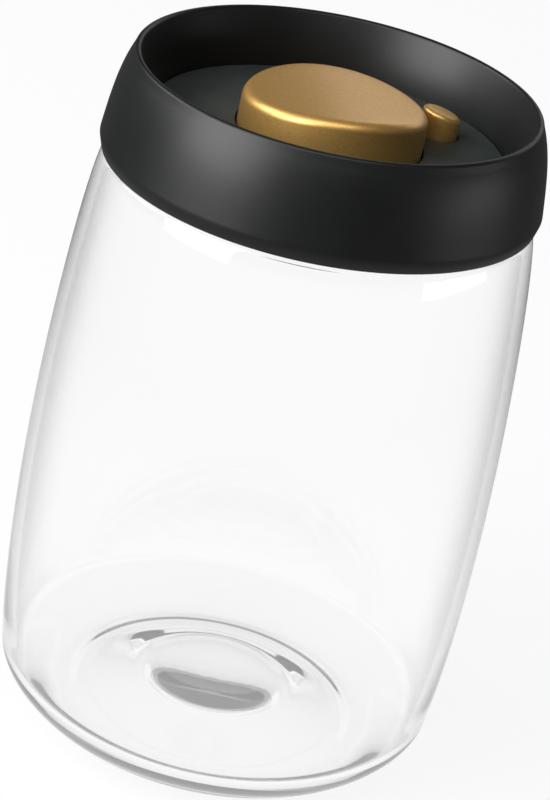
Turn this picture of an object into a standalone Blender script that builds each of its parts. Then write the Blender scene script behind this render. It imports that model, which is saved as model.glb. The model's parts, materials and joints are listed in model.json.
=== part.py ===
"""Glass storage jar with a vacuum pump in its lid.

A blown glass jar with a barrel-shaped body, a thick rounded lip and a pushed-up
base. Its lid is a moulded shell with a deep recess. A large round button in the
recess works a spring-loaded piston pump that draws air out of the jar, and a
small button beside it opens a valve that lets the air back in.

Every length is in metres. +Z is up, the jar stands on z = 0 with its axis on the
Z axis, and the release button lies on the +X side of the pump button.
"""
import math

import bmesh
import bpy
from mathutils import Matrix, Vector

# Fits that all pieces share
SEAT_GAP = 0.0003
GLIDE_GAP = 0.0004
WELD_DISTANCE = 0.000001
OVERRUN = 0.001

# Facets round each kind of piece
JAR_STEPS = 40
PUMP_STEPS = 32
VALVE_STEPS = 20
SCREW_STEPS = 12
HOLE_STEPS = 12

# Glass jar: a lip, a shoulder, a long barrel curve, a soft heel, a pushed-up base and
# the solid bump in its middle
GLASS_HEIGHT = 0.1524
GLASS_WALL = 0.0026
LIP_THICKNESS = 0.004
LIP_HEIGHT = 0.0054
LIP_ROUND = 0.0018
NECK_HANDLE_SHARE = 0.45
SHOULDER_STEP = 0.005
SHOULDER_RUN = 0.0031
SHOULDER_DROP = 0.0021
INNER_SHOULDER_DROP = 0.0016
BELLY_SWELL = 0.0097
BELLY_HEIGHT = 0.0615
HEEL_STEP = 0.0034
HEEL_HEIGHT = 0.0131
HEEL_HANDLE = 0.0049
INNER_HEEL_RISE = 0.0034
INNER_HEEL_RUN = 0.0144
INNER_HEEL_HANDLE = 0.006
INNER_FLOOR_HANDLE = 0.0095
BEARING_RADIUS = 0.0384
BEARING_WIDTH = 0.002
BASE_THICKNESS = 0.0043
PLATEAU_HEIGHT = 0.0015
PLATEAU_STEP = 0.0059
PLATEAU_HANDLE = 0.002
PUNT_STEP = 0.0145
PUNT_RISE = 0.0042
PUNT_CROWN = 0.0006
PUNT_HANDLE_SHARE = 0.75
INNER_PUNT_STEP = 0.004
INNER_PUNT_HANDLE = 0.003
BUMP_RISE = 0.0051
BUMP_TOP_SHARE = 0.71
BUMP_FOOT_SHARE = 0.79

# Lid stack, from the glass lip upwards
GASKET_THICKNESS = 0.0015
FLANGE_THICKNESS = 0.0016
LEDGE_THICKNESS = 0.0012
FLOOR_THICKNESS = 0.0015
RECESS_DEPTH = 0.0135

# Lid shell: skirt, rounded rim, recess wall and the ledge that carries the floor
SHOULDER_INSET = 0.001
SKIRT_OVERLAP = 0.0045
SKIRT_TUCK = 0.0008
SKIRT_WIDEST_RISE = 0.0029
SKIRT_FLARE = 0.0042
SKIRT_LEAN = 0.0008
SKIRT_HANDLE = 0.007
RIM_SHOULDER = 0.0005
RIM_DROP = 0.0016
RIM_RUN = 0.0027
RIM_HANDLE = 0.006
RIM_WIDTH = 0.0013
RIM_ROUND = 0.0011
SHELL_WALL = 0.0019
SHELL_FOOT_WALL = 0.0013
SHELL_EDGE_ROUND = 0.0005
RECESS_DRAFT = 0.0046
LEDGE_WIDTH = 0.0026
CAVITY_DEPTH = 0.0073
CAVITY_ROUND = 0.0008

# Floor plate of the recess
BUTTON_CLEARANCE = 0.0005
SPIGOT_DEPTH = 0.0015
SPIGOT_WALL = 0.0013
FLOOR_EDGE_ROUND = 0.0003
BOSS_RADIUS = 0.003

# Plug body: flange, plug wall and floor, pump cylinder and valve seats
PLUG_WALL = 0.0018
PLUG_DEPTH = 0.0111
PLUG_FLOOR = 0.0022
PLUG_ROUND = 0.001
FLANGE_OVERHANG = 0.0006
CYLINDER_RADIUS = 0.017
CYLINDER_WALL = 0.0016
CYLINDER_FLOOR = 0.0016
CYLINDER_HEAD_DROP = 0.0005
RIB_COUNT = 8
RIB_THICKNESS = 0.0012
RIB_HEIGHT = 0.0022
INLET_COUNT = 6
INLET_RADIUS = 0.0009
INLET_SPACING = 0.0008

# Lid gasket
GASKET_INSET = 0.0002
GASKET_LIP_DEPTH = 0.0037
GASKET_LIP_THICKNESS = 0.0008
GASKET_ROUND = 0.0003

# Pump button, a metal cap; a wide cylinder, turned and tilted a little, cuts its top
PUMP_TRAVEL = 0.007
BUTTON_HEIGHT = 0.0106
BUTTON_EDGE_ROUND = 0.0022
BUTTON_WALL = 0.0018
BUTTON_CROWN = 0.0038
BUTTON_SKIRT_DROP = 0.0024
CROWN_RADIUS = 0.115
CROWN_TURN = math.radians(-16)
CROWN_TILT = math.radians(2.8)
TOP_RING_SHARES = (0.8, 0.55, 0.3)

# Core that carries the pump button, and the hollow plunger below it
CORE_THICKNESS = 0.0017
CORE_HUB_DEPTH = 0.0012
CORE_ROUND = 0.0004
PLUNGER_WALL = 0.0016
PLUNGER_WEB = 0.0016
PLUNGER_BOSS_RADIUS = 0.0034
PLUNGER_BOSS_DEPTH = 0.006
PISTON_WALL = 0.0016
PISTON_HEAD_THICKNESS = 0.001
PISTON_FOOT_THICKNESS = 0.001
PISTON_END_GAP = 0.0006

# Cup seal of the piston, its lips open upwards
SEAL_GROOVE_DEPTH = 0.002
SEAL_GROOVE_HEIGHT = 0.003
SEAL_BASE_HEIGHT = 0.001
SEAL_LIP_THICKNESS = 0.0006
SEAL_LIP_HEIGHT = 0.0024
SEAL_LIP_FLARE = 0.0002

# Guide ring that closes the cylinder round the plunger
GUIDE_THICKNESS = 0.0017
GUIDE_SKIRT_DEPTH = 0.0037
GUIDE_WALL = 0.001
GUIDE_ROUND = 0.0004
GUIDE_CLEARANCE = 0.0005

# Pump spring
PUMP_WIRE_RADIUS = 0.0006
PUMP_COIL_CLEARANCE = 0.0006
PUMP_COIL_TURNS = 7
PUMP_END_PITCH = 0.0018

# Inlet valve and the slotted cover below it
VALVE_OVERLAP = 0.0013
VALVE_CAP_HEIGHT = 0.0013
VALVE_CAP_SLOPE = 0.0035
VALVE_EDGE_THICKNESS = 0.0004
VALVE_STEM_RADIUS = 0.0013
VALVE_BULB_STEP = 0.0008
VALVE_BULB_HEIGHT = 0.0011
COVER_THICKNESS = 0.0012
COVER_PLENUM = 0.0017
COVER_STEP = 0.0012
COVER_WALL = 0.0012
COVER_RIM_RISE = 0.0036
COVER_ROUND = 0.0006
SLOT_COUNT = 12
SLOT_WIDTH = 0.0014
SLOT_INNER_RADIUS = 0.0065
SLOT_MARGIN = 0.0025

# Release button, its stem and the valve seal that the stem opens
BUTTON_SPACING = 0.00285
RELEASE_TRAVEL = 0.002
RELEASE_INSET = 0.013
RELEASE_RADIUS = 0.00475
RELEASE_HEIGHT = 0.0059
RELEASE_EDGE_ROUND = 0.0012
RELEASE_WALL = 0.001
RELEASE_POCKET_DEPTH = 0.0045
STOP_OVERLAP = 0.0006
STOP_THICKNESS = 0.0013
STEM_RADIUS = 0.0014
STEM_FOOT_STEP = 0.0007
STEM_FOOT_THICKNESS = 0.0008
VENT_SPACE = 0.0008
POST_WALL = 0.0008
RELEASE_SEAL_OVERLAP = 0.0016
RELEASE_SEAL_THICKNESS = 0.0022
RELEASE_SEAL_ROUND = 0.0006

# Release spring
RELEASE_WIRE_RADIUS = 0.00025
RELEASE_COIL_CLEARANCE = 0.00055
RELEASE_COIL_TURNS = 6
RELEASE_END_PITCH = 0.001

# Screws: four hold the plug body to the floor plate, one holds the core
SCREW_COUNT = 4
SCREW_INSET = 0.0062
SCREW_SHANK_RADIUS = 0.00125
SCREW_TIP = 0.0006
SCREW_HEAD_RADIUS = 0.0027
SCREW_HEAD_HEIGHT = 0.001
SCREW_ROUND = 0.0003
SCREW_TIP_DEPTH = 0.0021
CORE_SCREW_LENGTH = 0.0062

# Points per turn of the springs, and the least space that a coil keeps to itself
COIL_POINTS = 9
COIL_MINIMUM_GAP = 0.0004

# Radii of the pump, each piece fitted in or round the cylinder
CYLINDER_OUTER_RADIUS = CYLINDER_RADIUS + CYLINDER_WALL
PISTON_RADIUS = CYLINDER_RADIUS - GLIDE_GAP
SEAL_SEAT_RADIUS = PISTON_RADIUS - SEAL_GROOVE_DEPTH
PLUNGER_RADIUS = SEAL_SEAT_RADIUS - PISTON_WALL
PLUNGER_BORE_RADIUS = PLUNGER_RADIUS - PLUNGER_WALL
PUMP_COIL_RADIUS = PLUNGER_BORE_RADIUS - PUMP_COIL_CLEARANCE - PUMP_WIRE_RADIUS
GUIDE_RADIUS = CYLINDER_OUTER_RADIUS + SEAT_GAP + GUIDE_WALL
BUTTON_BORE_RADIUS = GUIDE_RADIUS + GUIDE_CLEARANCE
BUTTON_RADIUS = BUTTON_BORE_RADIUS + BUTTON_WALL
SLOT_OUTER_RADIUS = CYLINDER_RADIUS - SLOT_MARGIN

# Radii of the valves, each seat round the stem that passes through it
VALVE_BULB_RADIUS = VALVE_STEM_RADIUS + VALVE_BULB_STEP
INLET_CIRCLE_RADIUS = VALVE_BULB_RADIUS + INLET_SPACING + INLET_RADIUS
VALVE_CAP_RADIUS = INLET_CIRCLE_RADIUS + INLET_RADIUS + VALVE_OVERLAP
VENT_RADIUS = STEM_RADIUS + VENT_SPACE
SPRING_POST_RADIUS = VENT_RADIUS + POST_WALL
RELEASE_COIL_RADIUS = SPRING_POST_RADIUS + RELEASE_COIL_CLEARANCE + RELEASE_WIRE_RADIUS
RELEASE_SEAL_RADIUS = VENT_RADIUS + RELEASE_SEAL_OVERLAP
STEM_FOOT_RADIUS = STEM_RADIUS + STEM_FOOT_STEP
RELEASE_HOLE_RADIUS = RELEASE_RADIUS + BUTTON_CLEARANCE
STOP_RADIUS = RELEASE_HOLE_RADIUS + STOP_OVERLAP

# Radii of the lid, from the buttons outwards to the skirt
RELEASE_OFFSET = BUTTON_RADIUS + BUTTON_SPACING + RELEASE_RADIUS
RECESS_RADIUS = RELEASE_OFFSET + RELEASE_INSET
LEDGE_RADIUS = RECESS_RADIUS - LEDGE_WIDTH
SCREW_CIRCLE_RADIUS = LEDGE_RADIUS - SCREW_INSET
RIM_INNER_RADIUS = RECESS_RADIUS + RECESS_DRAFT
RIM_CREST_RADIUS = RIM_INNER_RADIUS + RIM_WIDTH
RIM_RADIUS = RIM_CREST_RADIUS + RIM_SHOULDER
SKIRT_WIDEST_RADIUS = RIM_RADIUS + SKIRT_FLARE
SKIRT_FOOT_RADIUS = SKIRT_WIDEST_RADIUS - SKIRT_TUCK

# Radii of the glass under the skirt, and of what closes its mouth
SHOULDER_RADIUS = SKIRT_FOOT_RADIUS - SHOULDER_INSET
LIP_RADIUS = SHOULDER_RADIUS - SHOULDER_STEP
LIP_INNER_RADIUS = LIP_RADIUS - LIP_THICKNESS / 2
LIP_OUTER_RADIUS = LIP_RADIUS + LIP_THICKNESS / 2
BELLY_RADIUS = SHOULDER_RADIUS + BELLY_SWELL
HEEL_RADIUS = SHOULDER_RADIUS + HEEL_STEP
INNER_HEEL_RADIUS = HEEL_RADIUS - GLASS_WALL
INNER_FLOOR_RADIUS = INNER_HEEL_RADIUS - INNER_HEEL_RUN
PLATEAU_RADIUS = BEARING_RADIUS - BEARING_WIDTH / 2 - PLATEAU_STEP
PUNT_RADIUS = PLATEAU_RADIUS - PUNT_STEP
INNER_PUNT_RADIUS = PUNT_RADIUS + INNER_PUNT_STEP
GASKET_RADIUS = LIP_OUTER_RADIUS - GASKET_INSET
FLANGE_RADIUS = LIP_OUTER_RADIUS + FLANGE_OVERHANG
PLUG_RADIUS = LIP_INNER_RADIUS - 2 * SEAT_GAP - GASKET_LIP_THICKNESS
PLUG_INNER_RADIUS = PLUG_RADIUS - PLUG_WALL

# Heights of the glass
SHOULDER_HEIGHT = GLASS_HEIGHT - LIP_HEIGHT
INNER_HEEL_HEIGHT = HEEL_HEIGHT + INNER_HEEL_RISE
INNER_FLOOR_HEIGHT = PLATEAU_HEIGHT + BASE_THICKNESS
PUNT_HEIGHT = PLATEAU_HEIGHT + PUNT_RISE
INNER_PUNT_HEIGHT = PUNT_HEIGHT + BASE_THICKNESS
BUMP_TOP = INNER_PUNT_HEIGHT + BUMP_RISE

# Heights of the lid, from the glass lip upwards
GASKET_BOTTOM = GLASS_HEIGHT + SEAT_GAP
GASKET_TOP = GASKET_BOTTOM + GASKET_THICKNESS
FLANGE_BOTTOM = GASKET_TOP + SEAT_GAP
FLANGE_TOP = FLANGE_BOTTOM + FLANGE_THICKNESS
LEDGE_BOTTOM = FLANGE_TOP + SEAT_GAP
LEDGE_TOP = LEDGE_BOTTOM + LEDGE_THICKNESS
FLOOR_BOTTOM = LEDGE_TOP + SEAT_GAP
FLOOR_TOP = FLOOR_BOTTOM + FLOOR_THICKNESS
LID_TOP = FLOOR_TOP + RECESS_DEPTH
LID_BOTTOM = GLASS_HEIGHT - SKIRT_OVERLAP
PLUG_BOTTOM = FLANGE_TOP - PLUG_DEPTH
PLUG_FLOOR_TOP = PLUG_BOTTOM + PLUG_FLOOR

# Heights of the pump: the piston stops at the guide ring, and above the cylinder's floor
CYLINDER_TOP = FLANGE_BOTTOM - CYLINDER_HEAD_DROP
GUIDE_BOTTOM = CYLINDER_TOP + SEAT_GAP
GUIDE_TOP = GUIDE_BOTTOM + GUIDE_THICKNESS
PISTON_TOP = GUIDE_BOTTOM - SEAT_GAP
GROOVE_TOP = PISTON_TOP - PISTON_HEAD_THICKNESS
GROOVE_BOTTOM = GROOVE_TOP - SEAL_GROOVE_HEIGHT
PISTON_BOTTOM = GROOVE_BOTTOM - PISTON_FOOT_THICKNESS
CYLINDER_FLOOR_TOP = PISTON_BOTTOM - PUMP_TRAVEL - PISTON_END_GAP
CYLINDER_BOTTOM = CYLINDER_FLOOR_TOP - CYLINDER_FLOOR
COVER_TOP = CYLINDER_BOTTOM - COVER_PLENUM
BUTTON_TOP = FLOOR_TOP + BUTTON_HEIGHT
BUTTON_CEILING = BUTTON_TOP - BUTTON_CROWN
BUTTON_BOTTOM = FLOOR_TOP - BUTTON_SKIRT_DROP
CORE_TOP = BUTTON_CEILING - SEAT_GAP
CORE_BOTTOM = CORE_TOP - CORE_THICKNESS
HUB_BOTTOM = CORE_BOTTOM - CORE_HUB_DEPTH
PLUNGER_TOP = CORE_BOTTOM - SEAT_GAP
WEB_TOP = HUB_BOTTOM - SEAT_GAP
WEB_BOTTOM = WEB_TOP - PLUNGER_WEB

# Heights of the release valve: its stop runs from the floor plate down to the post
STOP_TOP = FLOOR_BOTTOM - SEAT_GAP
STOP_BOTTOM = STOP_TOP - STOP_THICKNESS
POST_TOP = STOP_BOTTOM - RELEASE_TRAVEL - SEAT_GAP
RELEASE_BOTTOM = STOP_TOP + SEAT_GAP
RELEASE_TOP = FLOOR_TOP + RELEASE_HEIGHT
RELEASE_SEAL_TOP = PLUG_BOTTOM - SEAT_GAP
RELEASE_SEAL_BOTTOM = RELEASE_SEAL_TOP - RELEASE_SEAL_THICKNESS

# Screw sizes that follow from the pieces they hold
SCREW_HEAD_SEAT = PLUG_BOTTOM + SCREW_HEAD_HEIGHT
SCREW_LENGTH = FLOOR_BOTTOM - SCREW_TIP_DEPTH - SCREW_HEAD_SEAT
SCREW_HOLE_RADIUS = SCREW_SHANK_RADIUS + SEAT_GAP
SCREW_SEAT_RADIUS = SCREW_HEAD_RADIUS + SEAT_GAP
SCREW_SEAT_DEPTH = SCREW_HEAD_HEIGHT + SEAT_GAP

# Colours, roughness and metallic value of each finish
CLEAR_GLASS = ((0.95, 0.97, 0.97), 0.03, 0.0)
BLACK_PLASTIC = ((0.025, 0.026, 0.027), 0.5, 0.0)
GREY_PLASTIC = ((0.3, 0.31, 0.32), 0.45, 0.0)
GOLD_METAL = ((0.55, 0.36, 0.12), 0.35, 1.0)
WHITE_SILICONE = ((0.72, 0.72, 0.7), 0.6, 0.0)
SPRING_STEEL = ((0.55, 0.55, 0.56), 0.3, 1.0)


def arc_corner(before, corner, after, fillet, steps):
    """Points of the arc that rounds one corner, no larger than its sides allow."""
    to_before = (before - corner).normalized()
    to_after = (after - corner).normalized()
    half_angle = to_before.angle(to_after) / 2
    room = min((before - corner).length, (after - corner).length) / 2
    radius = min(fillet, room * math.tan(half_angle))
    tangent = radius / math.tan(half_angle)
    centre = corner + (to_before + to_after).normalized() * radius / math.sin(half_angle)
    start = corner + to_before * tangent - centre
    end = corner + to_after * tangent - centre
    sweep = math.pi - 2 * half_angle
    points = []
    for step in range(steps + 1):
        part = step / steps
        from_start = math.sin((1 - part) * sweep) / math.sin(sweep)
        from_end = math.sin(part * sweep) / math.sin(sweep)
        points.append(centre + start * from_start + end * from_end)
    return points


def rounded(corners, steps=2, closed=True):
    """Outline through (radius, height) corners, rounded where a third value is given."""
    places = [Vector(corner[:2]) for corner in corners]
    points = []
    for index, corner in enumerate(corners):
        at_end = not closed and index in (0, len(corners) - 1)
        if len(corner) == 2 or at_end:
            points.append(places[index])
            continue
        after = places[(index + 1) % len(places)]
        points.extend(arc_corner(places[index - 1], places[index], after, corner[2], steps))
    return points


def curve(start, start_handle, end_handle, end, steps):
    """Points of a cubic curve between its two ends, which it leaves out."""
    points = []
    for step in range(1, steps):
        part = step / steps
        rest = 1 - part
        weights = (rest ** 3, 3 * rest ** 2 * part, 3 * rest * part ** 2, part ** 3)
        corners = (start, start_handle, end_handle, end)
        radius = sum(weight * corner[0] for weight, corner in zip(weights, corners))
        height = sum(weight * corner[1] for weight, corner in zip(weights, corners))
        points.append((radius, height))
    return points


def between(start, end, share):
    """Point that lies a share of the way from start to end."""
    return tuple(a + (b - a) * share for a, b in zip(start, end))


def turned(outline, steps, closed=True):
    """Spin an outline about the Z axis; an open one begins and ends on the axis."""
    shape = bmesh.new()
    verts = [shape.verts.new((point[0], 0, point[1])) for point in outline]
    pairs = list(zip(verts, verts[1:]))
    if closed:
        pairs.append((verts[-1], verts[0]))
    edges = [shape.edges.new(pair) for pair in pairs]
    bmesh.ops.spin(
        shape,
        geom=verts + edges,
        cent=(0, 0, 0),
        axis=(0, 0, 1),
        angle=math.tau,
        steps=steps,
        use_merge=True,
    )
    bmesh.ops.remove_doubles(shape, verts=shape.verts, dist=WELD_DISTANCE)
    bmesh.ops.dissolve_degenerate(shape, edges=shape.edges, dist=WELD_DISTANCE)
    bmesh.ops.recalc_face_normals(shape, faces=shape.faces)
    return shape


def finish(name, look):
    """Material with the piece's colour, roughness and metallic value."""
    colour, roughness, metallic = look
    material = bpy.data.materials.new(name + "_finish")
    material.use_nodes = True
    shader = material.node_tree.nodes["Principled BSDF"]
    shader.inputs["Base Color"].default_value = (*colour, 1)
    shader.inputs["Roughness"].default_value = roughness
    shader.inputs["Metallic"].default_value = metallic
    if look is CLEAR_GLASS:
        shader.inputs["Transmission Weight"].default_value = 1
    return material


def add_piece(name, shape, look, carrier=None, place=(0, 0, 0)):
    """Make a named object from a bmesh, with its own finish, on its carrier."""
    mesh = bpy.data.meshes.new(name)
    shape.to_mesh(mesh)
    shape.free()
    mesh.shade_smooth()
    mesh.set_sharp_from_angle(angle=math.radians(35))
    piece = bpy.data.objects.new(name, mesh)
    bpy.context.scene.collection.objects.link(piece)
    piece.location = place
    piece.parent = carrier
    piece.data.materials.append(finish(name, look))
    return piece


def add_carrier(name, place, carrier=None):
    """Empty on the axis of a joint, which carries the pieces that move together."""
    empty = bpy.data.objects.new(name, None)
    empty.location = place
    empty.parent = carrier
    bpy.context.scene.collection.objects.link(empty)
    return empty


def add_rod(shape, place, radius, bottom, top, steps=HOLE_STEPS):
    """Add an upright round rod to a shape."""
    middle = Matrix.Translation((place[0], place[1], (bottom + top) / 2))
    bmesh.ops.create_cone(
        shape,
        cap_ends=True,
        segments=steps,
        radius1=radius,
        radius2=radius,
        depth=top - bottom,
        matrix=middle,
    )


def add_bar(shape, inner, outer, width, bottom, top, angle):
    """Add a bar that lies along a radius."""
    size = Matrix.Diagonal((outer - inner, width, top - bottom, 1))
    middle = Matrix.Translation(((inner + outer) / 2, 0, (bottom + top) / 2))
    bmesh.ops.create_cube(shape, size=1, matrix=Matrix.Rotation(angle, 4, "Z") @ middle @ size)


def combine(piece, name, shape, operation):
    """Join a shape to a piece, or cut it out, with a Boolean modifier."""
    mesh = bpy.data.meshes.new(name)
    shape.to_mesh(mesh)
    shape.free()
    tool = bpy.data.objects.new(name, mesh)
    tool.parent = piece.parent
    tool.hide_render = True
    tool.display_type = "WIRE"
    bpy.context.scene.collection.objects.link(tool)
    modifier = piece.modifiers.new(name, "BOOLEAN")
    modifier.solver = "EXACT"
    modifier.operation = operation
    modifier.object = tool


def around(count, radius, first_share=0.0):
    """Places evenly spaced on a circle, the first a share of a step past +X."""
    places = []
    for index in range(count):
        angle = math.tau * (index + first_share) / count
        places.append((radius * math.cos(angle), radius * math.sin(angle)))
    return places


def crown(x, y):
    """Height of the curved surface that cuts both buttons, over its height on the axis."""
    across = x * math.cos(CROWN_TURN) + y * math.sin(CROWN_TURN)
    return -across * across / (2 * CROWN_RADIUS) - y * math.tan(CROWN_TILT)


def glass_outline():
    """Outline of the glass from the middle of its inner floor to that of its base."""
    lip_foot = GLASS_HEIGHT - LIP_THICKNESS / 2
    lip_corners = [(radius, GLASS_HEIGHT, LIP_ROUND) for radius in (LIP_INNER_RADIUS, LIP_OUTER_RADIUS)]
    inner_floor = (INNER_FLOOR_RADIUS, INNER_FLOOR_HEIGHT)
    inner_heel = (INNER_HEEL_RADIUS, INNER_HEEL_HEIGHT)
    inner_belly = (BELLY_RADIUS - GLASS_WALL, BELLY_HEIGHT)
    inner_shoulder = (SHOULDER_RADIUS - GLASS_WALL, SHOULDER_HEIGHT - INNER_SHOULDER_DROP)
    inner_bend = (inner_shoulder[0] + SHOULDER_RUN, inner_shoulder[1] - SHOULDER_DROP)
    inner_neck = (LIP_INNER_RADIUS, lip_foot)
    shoulder = (SHOULDER_RADIUS, SHOULDER_HEIGHT)
    bend = (SHOULDER_RADIUS + SHOULDER_RUN, SHOULDER_HEIGHT - SHOULDER_DROP)
    neck = (LIP_OUTER_RADIUS, lip_foot)
    heel = (HEEL_RADIUS, HEEL_HEIGHT)
    belly = (BELLY_RADIUS, BELLY_HEIGHT)
    bearing_outer = (BEARING_RADIUS + BEARING_WIDTH / 2, 0)
    bearing_reach = (bearing_outer[0] + HEEL_HANDLE, 0)
    bearing_inner = (BEARING_RADIUS - BEARING_WIDTH / 2, 0)
    plateau_fall = (bearing_inner[0] - PLATEAU_HANDLE, 0)
    plateau_rise = (PLATEAU_RADIUS + PLATEAU_HANDLE, PLATEAU_HEIGHT)
    plateau = (PLATEAU_RADIUS, PLATEAU_HEIGHT)
    punt = (PUNT_RADIUS, PUNT_HEIGHT)
    punt_top = (0, PUNT_HEIGHT + PUNT_CROWN)
    punt_spread = (PUNT_RADIUS * PUNT_HANDLE_SHARE, PUNT_HEIGHT)
    punt_reach = (PUNT_RADIUS * PUNT_HANDLE_SHARE, punt_top[1])
    cone_reach = (PLATEAU_RADIUS - PLATEAU_HANDLE, PLATEAU_HEIGHT)
    cone_top = (PUNT_RADIUS + PLATEAU_HANDLE, PUNT_HEIGHT)
    inner_punt = (INNER_PUNT_RADIUS, INNER_PUNT_HEIGHT)
    floor_top = (INNER_PUNT_RADIUS + INNER_PUNT_HANDLE, INNER_PUNT_HEIGHT)
    floor_rise = (INNER_FLOOR_RADIUS - INNER_PUNT_HANDLE, INNER_FLOOR_HEIGHT)
    bump_top = (0, BUMP_TOP)
    bump_reach = (INNER_PUNT_RADIUS * BUMP_TOP_SHARE, BUMP_TOP)
    bump_spread = (INNER_PUNT_RADIUS * BUMP_FOOT_SHARE, INNER_PUNT_HEIGHT)
    floor_reach = (INNER_FLOOR_RADIUS + INNER_FLOOR_HANDLE, INNER_FLOOR_HEIGHT)
    inner_heel_reach = (inner_heel[0], INNER_HEEL_HEIGHT - INNER_HEEL_HANDLE)
    inner_neck_foot = (LIP_INNER_RADIUS, inner_shoulder[1])
    inner_neck_reach = between(inner_neck, inner_neck_foot, NECK_HANDLE_SHARE)
    inner_rise = between(inner_bend, inner_shoulder, 1 + NECK_HANDLE_SHARE)
    outer_rise = between(bend, shoulder, 1 + NECK_HANDLE_SHARE)
    neck_reach = between(neck, (LIP_OUTER_RADIUS, SHOULDER_HEIGHT), NECK_HANDLE_SHARE)
    heel_direction = (Vector(belly) - Vector(heel)).normalized()
    heel_reach = Vector(heel) - heel_direction * HEEL_HANDLE
    return [
        bump_top,
        *curve(bump_top, bump_reach, bump_spread, inner_punt, 6),
        inner_punt,
        *curve(inner_punt, floor_top, floor_rise, inner_floor, 3),
        inner_floor,
        *curve(inner_floor, floor_reach, inner_heel_reach, inner_heel, 4),
        inner_heel,
        *curve(inner_heel, inner_belly, inner_bend, inner_shoulder, 7),
        inner_shoulder,
        *curve(inner_shoulder, inner_rise, inner_neck_reach, inner_neck, 3),
        inner_neck,
        *rounded([inner_neck, *lip_corners, neck], closed=False)[1:],
        *curve(neck, neck_reach, outer_rise, shoulder, 3),
        shoulder,
        *curve(shoulder, bend, belly, heel, 8),
        heel,
        *curve(heel, heel_reach, bearing_reach, bearing_outer, 5),
        bearing_outer,
        bearing_inner,
        *curve(bearing_inner, plateau_fall, plateau_rise, plateau, 3),
        plateau,
        *curve(plateau, cone_reach, cone_top, punt, 3),
        punt,
        *curve(punt, punt_spread, punt_reach, punt_top, 3),
        punt_top,
    ]


def build_jar():
    """One-piece glass jar."""
    add_piece("glass_jar", turned(glass_outline(), JAR_STEPS, closed=False), CLEAR_GLASS)


def build_lid_shell(lid):
    """Moulded shell: skirt, rim, recess wall and the ledge under the floor plate."""
    widest = (SKIRT_WIDEST_RADIUS, LID_BOTTOM + SKIRT_WIDEST_RISE)
    lean = (SKIRT_WIDEST_RADIUS - SKIRT_LEAN, widest[1] + SKIRT_HANDLE)
    rim_edge = (RIM_RADIUS, LID_TOP - RIM_DROP)
    rim_lean = (RIM_RADIUS + RIM_RUN, rim_edge[1] - RIM_HANDLE)
    skirt = curve(widest, lean, rim_lean, rim_edge, 7)
    cavity_top = LID_TOP - CAVITY_DEPTH
    inside = [(radius - SHELL_WALL, height) for radius, height in skirt if height < cavity_top]
    wall_slope = (RIM_INNER_RADIUS - RECESS_RADIUS) / RECESS_DEPTH
    wall_foot = RECESS_RADIUS + SHELL_WALL
    wall_head = wall_foot + wall_slope * (cavity_top - FLOOR_TOP)
    outline = rounded([
        (SKIRT_FOOT_RADIUS - SHELL_FOOT_WALL, LID_BOTTOM),
        (SKIRT_FOOT_RADIUS, LID_BOTTOM, SHELL_EDGE_ROUND),
        widest,
        *skirt,
        rim_edge,
        (RIM_CREST_RADIUS, LID_TOP, RIM_ROUND),
        (RIM_INNER_RADIUS, LID_TOP, RIM_ROUND),
        (RECESS_RADIUS, FLOOR_TOP),
        (RECESS_RADIUS, LEDGE_TOP),
        (LEDGE_RADIUS, LEDGE_TOP),
        (LEDGE_RADIUS, LEDGE_BOTTOM),
        (wall_foot, LEDGE_BOTTOM),
        (wall_foot, FLOOR_TOP),
        (wall_head, cavity_top, CAVITY_ROUND),
        (inside[-1][0], cavity_top, CAVITY_ROUND),
        *reversed(inside),
        (SKIRT_WIDEST_RADIUS - SHELL_WALL, widest[1]),
    ])
    add_piece("lid_shell", turned(outline, JAR_STEPS), BLACK_PLASTIC, lid)


def build_floor_plate(lid):
    """Floor of the recess, with openings for both buttons and bosses for the screws."""
    opening = BUTTON_RADIUS + BUTTON_CLEARANCE
    edge = RECESS_RADIUS - SEAT_GAP
    spigot = LEDGE_RADIUS - SEAT_GAP
    spigot_bottom = FLOOR_BOTTOM - SPIGOT_DEPTH
    outline = rounded([
        (opening, FLOOR_TOP, FLOOR_EDGE_ROUND),
        (edge, FLOOR_TOP),
        (edge, FLOOR_BOTTOM),
        (spigot, FLOOR_BOTTOM),
        (spigot, spigot_bottom),
        (spigot - SPIGOT_WALL, spigot_bottom),
        (spigot - SPIGOT_WALL, FLOOR_BOTTOM),
        (opening, FLOOR_BOTTOM),
    ])
    plate = add_piece("floor_plate", turned(outline, JAR_STEPS), BLACK_PLASTIC, lid)
    bosses = bmesh.new()
    holes = bmesh.new()
    boss_bottom = PLUG_FLOOR_TOP + SEAT_GAP
    middle = (FLOOR_BOTTOM + FLOOR_TOP) / 2
    hole_top = SCREW_HEAD_SEAT + SCREW_LENGTH + SEAT_GAP
    for place in around(SCREW_COUNT, SCREW_CIRCLE_RADIUS, 1 / 2):
        add_rod(bosses, place, BOSS_RADIUS, boss_bottom, middle, SCREW_STEPS)
        add_rod(holes, place, SCREW_HOLE_RADIUS, boss_bottom - OVERRUN, hole_top)
    release_place = (RELEASE_OFFSET, 0)
    bottom = FLOOR_BOTTOM - OVERRUN
    top = FLOOR_TOP + OVERRUN
    add_rod(holes, release_place, RELEASE_HOLE_RADIUS, bottom, top, PUMP_STEPS)
    combine(plate, "floor_plate_bosses", bosses, "UNION")
    combine(plate, "floor_plate_holes", holes, "DIFFERENCE")


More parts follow.
